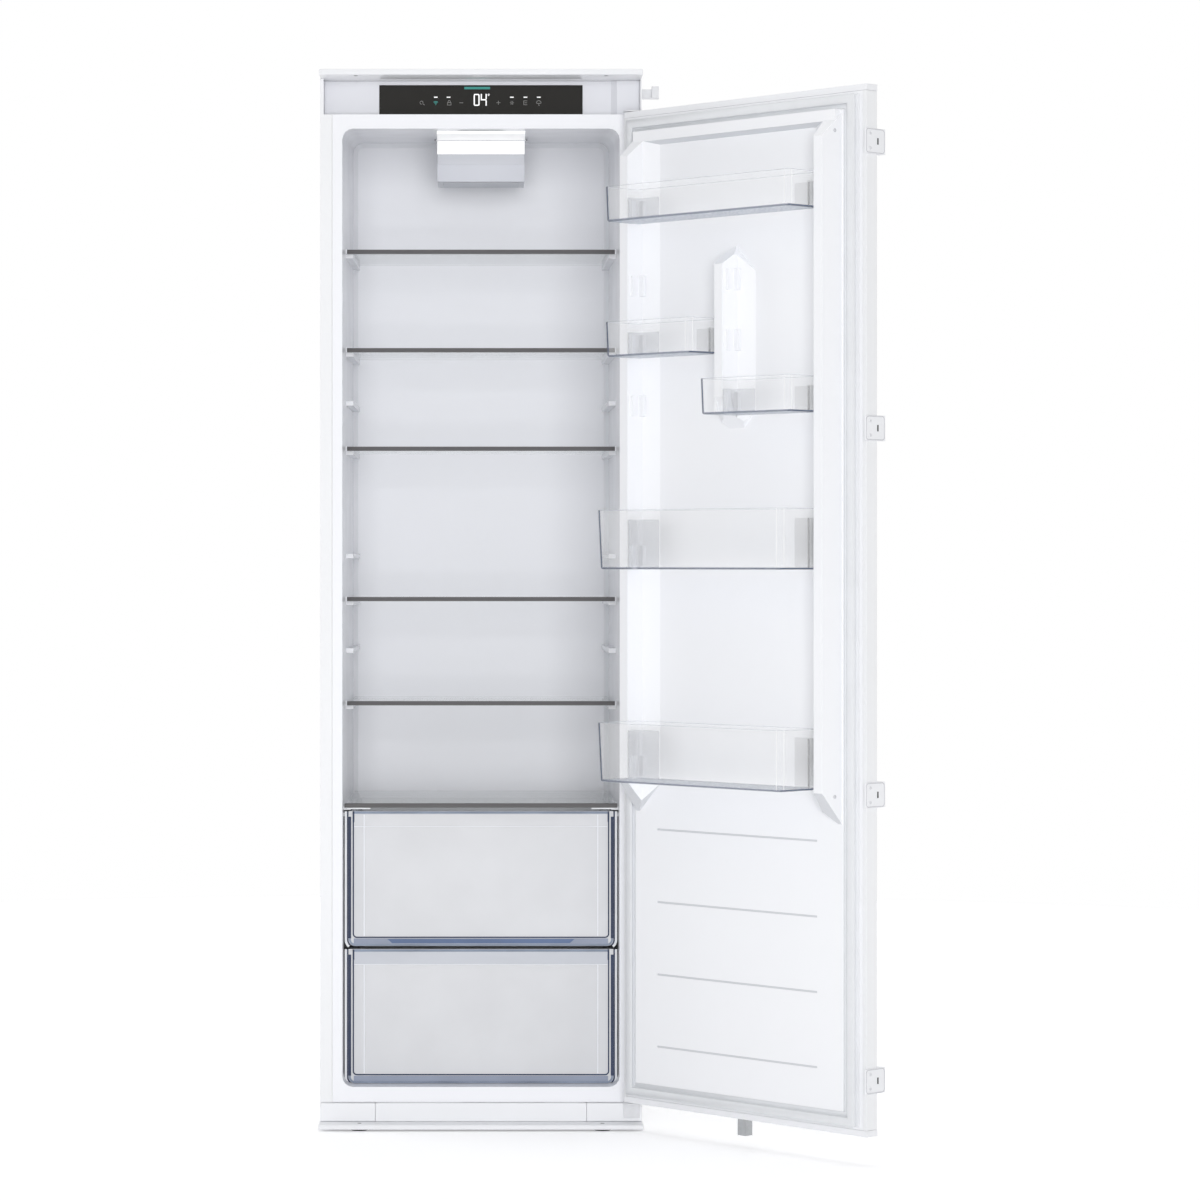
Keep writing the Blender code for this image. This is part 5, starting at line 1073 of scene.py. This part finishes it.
def make_fins(node, body):
    """A dark and a light strip along the plate's sides and round its lower corners."""
    low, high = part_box(node)
    corner_x, corner_z = high.x - PLATE_CORNER, low.z + PLATE_CORNER
    shape = Shape()
    for mark, start, width in ((0, 0.0, FIN_DARK), (1, FIN_DARK, FIN_WIDTH - FIN_DARK)):
        radius = PLATE_CORNER + start + width / 2
        for sign in (-1, 1):
            path = [(corner_x + radius, high.z - 0.0005)]
            path += arc(corner_x, corner_z, radius, 0, FIN_BEND, 6)
            shape.ribbon([(sign * x, z) for x, z in path], width, low.y + 0.0006,
                         low.y + 0.0022, mark=mark)
    shape.piece(node + "_fins", "line_dark", "clip_plastic", body=body, slot="clear_plastic")


def make_drawers():
    for node, body, deep_band in (("drawer_upper", "upper_crisper", True),
                                  ("drawer_lower", "lower_crisper", False)):
        make_bin(node, body)
        make_bin_edges(node, body, deep_band)
        make_fins(node, body)


def flank_u(v):
    """Where the inner flank of the hinge leg stands at v."""
    return 0.062 + 0.006 * (0.055 - v) / (0.055 - 0.026)


def free_flank(v):
    return DOOR_WIDTH - flank_u(v)


def rib_right(v):
    return flank_u(v) + RIB_SHIFT


def rib_left(v):
    return DOOR_WIDTH - rib_right(v)


def cut_boxes(mesh, boxes):
    """Cuts boxes, given in door coordinates, out of a mesh."""
    cutter = Shape(door_point)
    for low, high in boxes:
        cutter.box(low, high)
    knife = new_object("knife", cutter.mesh("knife"))
    work = new_object("work", mesh)
    boolean = work.modifiers.new("cut", "BOOLEAN")
    boolean.operation = "DIFFERENCE"
    boolean.solver = "EXACT"
    boolean.object = knife
    result = applied(work)
    for obj in (knife, work):
        bpy.data.objects.remove(obj)
    return result


def applied(obj):
    """The mesh of an object with its modifiers carried out."""
    bpy.context.view_layer.update()
    seen = obj.evaluated_get(bpy.context.evaluated_depsgraph_get())
    return bpy.data.meshes.new_from_object(seen)


def make_trough(node, body, low_flank, high_flank, front_v, floor_z, height, draft):
    """A clear door trough with drafted walls, a frosted floor and a slot for each lug."""
    low_edge, high_edge = low_flank(NECK_V) + FLANK_GAP, high_flank(NECK_V) - FLANK_GAP
    corners = [(low_edge, front_v), (low_edge, NECK_V), (low_flank(LEG_V) + FLANK_GAP, LEG_V),
               (high_flank(LEG_V) - FLANK_GAP, LEG_V), (high_edge, NECK_V), (high_edge, front_v)]
    middle = (low_edge + high_edge) / 2

    def ring(rise, inward):
        lean = draft * max(0.0, 1 - rise / height)
        placed = []
        for u, v in offset_path(corners, inward, closed=True):
            side = 1 if u < middle else -1
            placed.append((u + lean * side * (v > NECK_V - 0.004), v - lean * (v > NECK_V + 0.01)))
        radius = max(0.009 - inward, 0.004)
        return [(u, v, floor_z + rise) for u, v in rounded(placed, [radius, 0, 0, 0, 0, radius], 8)]

    levels = ((0.0, 0.0030), (0.0010, 0.0009), (0.0030, 0.0), (height - 0.0006, 0.0),
              (height, 0.0006), (height, 0.0019), (height - 0.0006, 0.0025), (0.0045, 0.0025),
              (0.0025, 0.0045))
    finishes = ("clear_plastic", "clear_edge", "clear_rim", "clear_frost", "corner_painted_shade",
                "corner_painted_highlight")
    clear, edge, rim, frost, dark, light = range(len(finishes))
    shape = Shape(door_point)
    shape.loft([ring(*level) for level in levels],
               marks=[edge, edge, clear, rim, rim, rim, clear, clear])
    shape.marks[-2:] = [frost, frost]
    count = len(shape.points) // len(levels)
    # Painted shade on the hinge-side front corner and part of the bottom edge, and painted highlight
    # strips on the far front corner
    for level in (0, 1):
        shape.marks[level * count + 11:level * count + 17] = [dark] * 6
    for level in (2, 3):
        shape.marks[level * count:level * count + 4] = [dark] * 4
        shape.marks[level * count + 13] = shape.marks[level * count + 20] = light
    mesh = shape.mesh(node + "_trough", *finishes)
    slots = [((flank(LUG_V) - sign * 0.010, 0.0392, floor_z - 0.010),
              (flank(0.040) + sign * 0.0053, 0.0498, floor_z + 0.0393))
             for flank, sign in ((low_flank, 1), (high_flank, -1))]
    obj = collect(node + "_trough", cut_boxes(mesh, slots), None, body)
    soften(obj, 0.0)
    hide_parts(node)


def make_pockets(node, body, low_flank, high_flank, floor_z, height):
    """The frosted pocket round each lug of a trough, painted darker on the flank nearer the hinge and
    lighter on the other.
    """
    front, back = POCKET_V
    low_z, top = floor_z + 0.0028, floor_z + (height - 0.0150)
    shape = Shape(door_point)
    for flank, sign, mark in ((low_flank, 1, 0), (high_flank, -1, 1)):
        wall = flank(LUG_V) + sign * 0.0062
        far = wall + sign * POCKET_WALL
        shape.box((wall, front, low_z), (far, back, top), mark)
        shape.box((flank(LUG_V) + sign * 0.0036, back - POCKET_WALL, low_z), (wall, back, top), mark)
        shape.box((far, front, low_z), (wall + sign * 0.0480, front + 0.0014, top), mark)
    shape.piece(node + "_pockets", "pocket_painted_shade", "pocket_painted_light", body=body,
                slot="clear_plastic", width=0.0004)


def make_balconies():
    """The five troughs on the door. slim and deep are front, height and draft."""
    slim = (0.112, 0.0575, 0.0016)
    deep = (0.130, 0.0965, 0.0032)
    rows = (("balcony_top", "top_balcony", flank_u, free_flank, slim, 1.5030),
            ("balcony_left_half", "left_half_balcony", flank_u, rib_left, slim, 1.2815),
            ("balcony_right_half", "right_half_balcony", rib_right, free_flank, slim, 1.1815),
            ("balcony_bottle", "bottle_balcony", flank_u, free_flank, deep, 0.9340),
            ("balcony_bottom", "bottom_balcony", flank_u, free_flank, deep, 0.5870))
    for node, body, low_flank, high_flank, (front_v, height, draft), floor_z in rows:
        make_trough(node, body, low_flank, high_flank, front_v, floor_z, height, draft)
        make_pockets(node, body, low_flank, high_flank, floor_z, height)


def make_gasket():
    """The magnetic seal: a ribbed hollow profile with mitred corners."""
    low_u, high_u = GASKET_INSET, DOOR_WIDTH - GASKET_INSET
    low_z, high_z = DOOR_BOTTOM_Z + GASKET_INSET, DOOR_TOP_Z - GASKET_INSET
    profile = [(0.0, 0.0004), (0.0, 0.0022), (0.0012, 0.0036), (0.0030, 0.0042), (0.0030, 0.0068),
               (0.0012, 0.0082), (0.0006, 0.0100), (0.0006, 0.0126), (0.0020, 0.0142),
               (0.0130, 0.0142), (0.0144, 0.0130), (0.0144, 0.0104), (0.0130, 0.0088),
               (0.0130, 0.0060), (0.0150, 0.0056), (0.0186, 0.0082), (0.0224, 0.0094),
               (0.0225, 0.0087), (0.0192, 0.0070), (0.0188, 0.0026), (0.0188, 0.0004)]
    shape = Shape(door_point)
    shape.loft([[(u + du * d, v, z + dz * d) for d, v in profile]
                for u, z, du, dz in ((low_u, low_z, 1, 1), (high_u, low_z, -1, 1),
                                     (high_u, high_z, -1, -1), (low_u, high_z, 1, -1))], closed=True)
    shape.piece("door_seal", "gasket", body="door", degrees=50.0, replaces="door_gasket")


def make_door_liner():
    """The door's inner skin. Its pressed grooves and downward faces take a darker material as painted
    shade.
    """
    obj = collect("door_liner_shell", welded("door_liner"), "door_plastic", "door")
    soften(obj, 0.0016, 3, 20.0)
    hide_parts("door_liner")
    mesh = applied(obj)
    obj.modifiers.clear()
    mesh = cut_boxes(mesh, [((GROOVE_U[0], GROOVE_FLOOR_V, z - GROOVE_HALF),
                             (GROOVE_U[1], PANEL_V + 0.0012, z + GROOVE_HALF)) for z in GROOVES_Z])
    mesh.materials.append(MADE["groove_and_underside_painted_shade"])
    floor = Vector(door_point(0.0, GROOVE_FLOOR_V, 0.0))
    back = (Vector(door_point(0.0, 1.0, 0.0)) - floor).normalized()
    surface = PANEL_V - GROOVE_FLOOR_V
    # Painted shade: faces in the grooves, and faces turned downward away from the plain wall, take the
    # darker material
    for polygon in mesh.polygons:
        depth = (polygon.center - floor).dot(back)
        near = any(abs(polygon.center.z - z) < GROOVE_HALF + 0.0002 for z in GROOVES_Z)
        groove = near and -0.0001 < depth < surface - 0.0001 and polygon.area < GROOVE_STRIP_AREA
        plain_wall = PLAIN_WALL_Z[0] < polygon.center.z < PLAIN_WALL_Z[1]
        underside = polygon.normal.z < DOWNWARD and not plain_wall
        if groove or underside:
            polygon.material_index = 1
    obj.data = mesh
    soften(obj, 0.0)
    even_shading(obj)


def seen_directly(tree):
    """1 for rays from the camera, off gloss and through glass."""
    light = add_node(tree, "LightPath")
    seen = light.outputs["Is Camera Ray"]
    for key in ("Is Glossy Ray", "Is Transmission Ray"):
        most = add_node(tree, "Math", operation="MAXIMUM")
        tree.links.new(seen, most.inputs[0])
        tree.links.new(light.outputs[key], most.inputs[1])
        seen = most.outputs[0]
    return seen


def make_floor():
    """A pale disc, lifted to white where it is seen directly."""
    mesh = bpy.data.meshes.new("floor")
    mesh.from_pydata([(x, y, FLOOR_Z) for x, y in circle(FLOOR_RADIUS, 64)], [], [tuple(range(64))])
    floor = new_object("floor", mesh)
    paint = Finish("pale_floor", srgb(250, 250, 251), 0.9)
    paint.mottle(1.5, 0.004)
    lift = add_node(paint.tree, "Math", [(1, FLOOR_LIFT)], operation="MULTIPLY")
    paint.link(seen_directly(paint.tree), lift.inputs[0])
    paint.set("Emission Color", WHITE)
    paint.link(lift.outputs[0], paint.shader.inputs["Emission Strength"])
    mesh.materials.append(paint.material)


def make_surroundings():
    """White where it is seen directly, and WORLD_LEVEL as light."""
    world = bpy.data.worlds.new("studio")
    bpy.context.scene.world = world
    world.use_nodes = True
    tree = world.node_tree
    background = tree.nodes["Background"]
    background.inputs["Color"].default_value = WHITE
    level = add_node(tree, "MapRange", [("To Min", WORLD_LEVEL), ("To Max", 1.0)])
    tree.links.new(seen_directly(tree), level.inputs["Value"])
    tree.links.new(level.outputs["Result"], background.inputs["Strength"])


def make_lamps():
    """Soft square lamps, hidden from the camera and from gloss."""
    for name, place, aim, level in LAMPS:
        line = Vector(aim) - Vector(place)
        data = bpy.data.lights.new(name, "AREA")
        data.shape = "SQUARE"
        data.size = LAMP_SIZE
        data.energy = level * (math.pi * line.length) ** 2
        lamp = new_object(name, data)
        lamp.location = place
        lamp.rotation_euler = line.to_track_quat("-Z", "Y").to_euler()
        lamp.visible_camera = False
        lamp.visible_glossy = False


bpy.context.scene.view_settings.view_transform = "Standard"
MADE = make_finishes()
SLOTS = {entry["node"]: entry["material_slot"] for entry in frame["record"]["subparts"]}
WIDTHS = {node: width for width, nodes in ROUNDED_NODES.items() for node in nodes}
camera()
make_floor()
make_surroundings()
make_lamps()
for node in frame["nodes"]:
    finish = OTHER_FINISH.get(node, SLOTS[node])
    if node in MADE_HERE:
        continue
    if node in WIDTHS:
        refine(node, finish, WIDTHS[node])
    else:
        dress(node, finish)
for make in (make_display_marks, make_ledge_screws, make_housing_fillers, make_lamp,
             make_lamp_details, make_airflow_details, make_wall_marks, make_base_seam,
             make_rear_details, make_niche_sheet, make_compressor_details, make_top_screws,
             make_slide_details, make_runner_caps, make_cover_clips, make_drawers,
             make_balconies, make_gasket, make_door_liner):
    make()

# Light passes the clear walls and the glass as it does in life
for piece in bpy.data.objects:
    if piece.name.endswith(("_trough", "_pockets", "glass_shell")):
        piece.visible_shadow = False
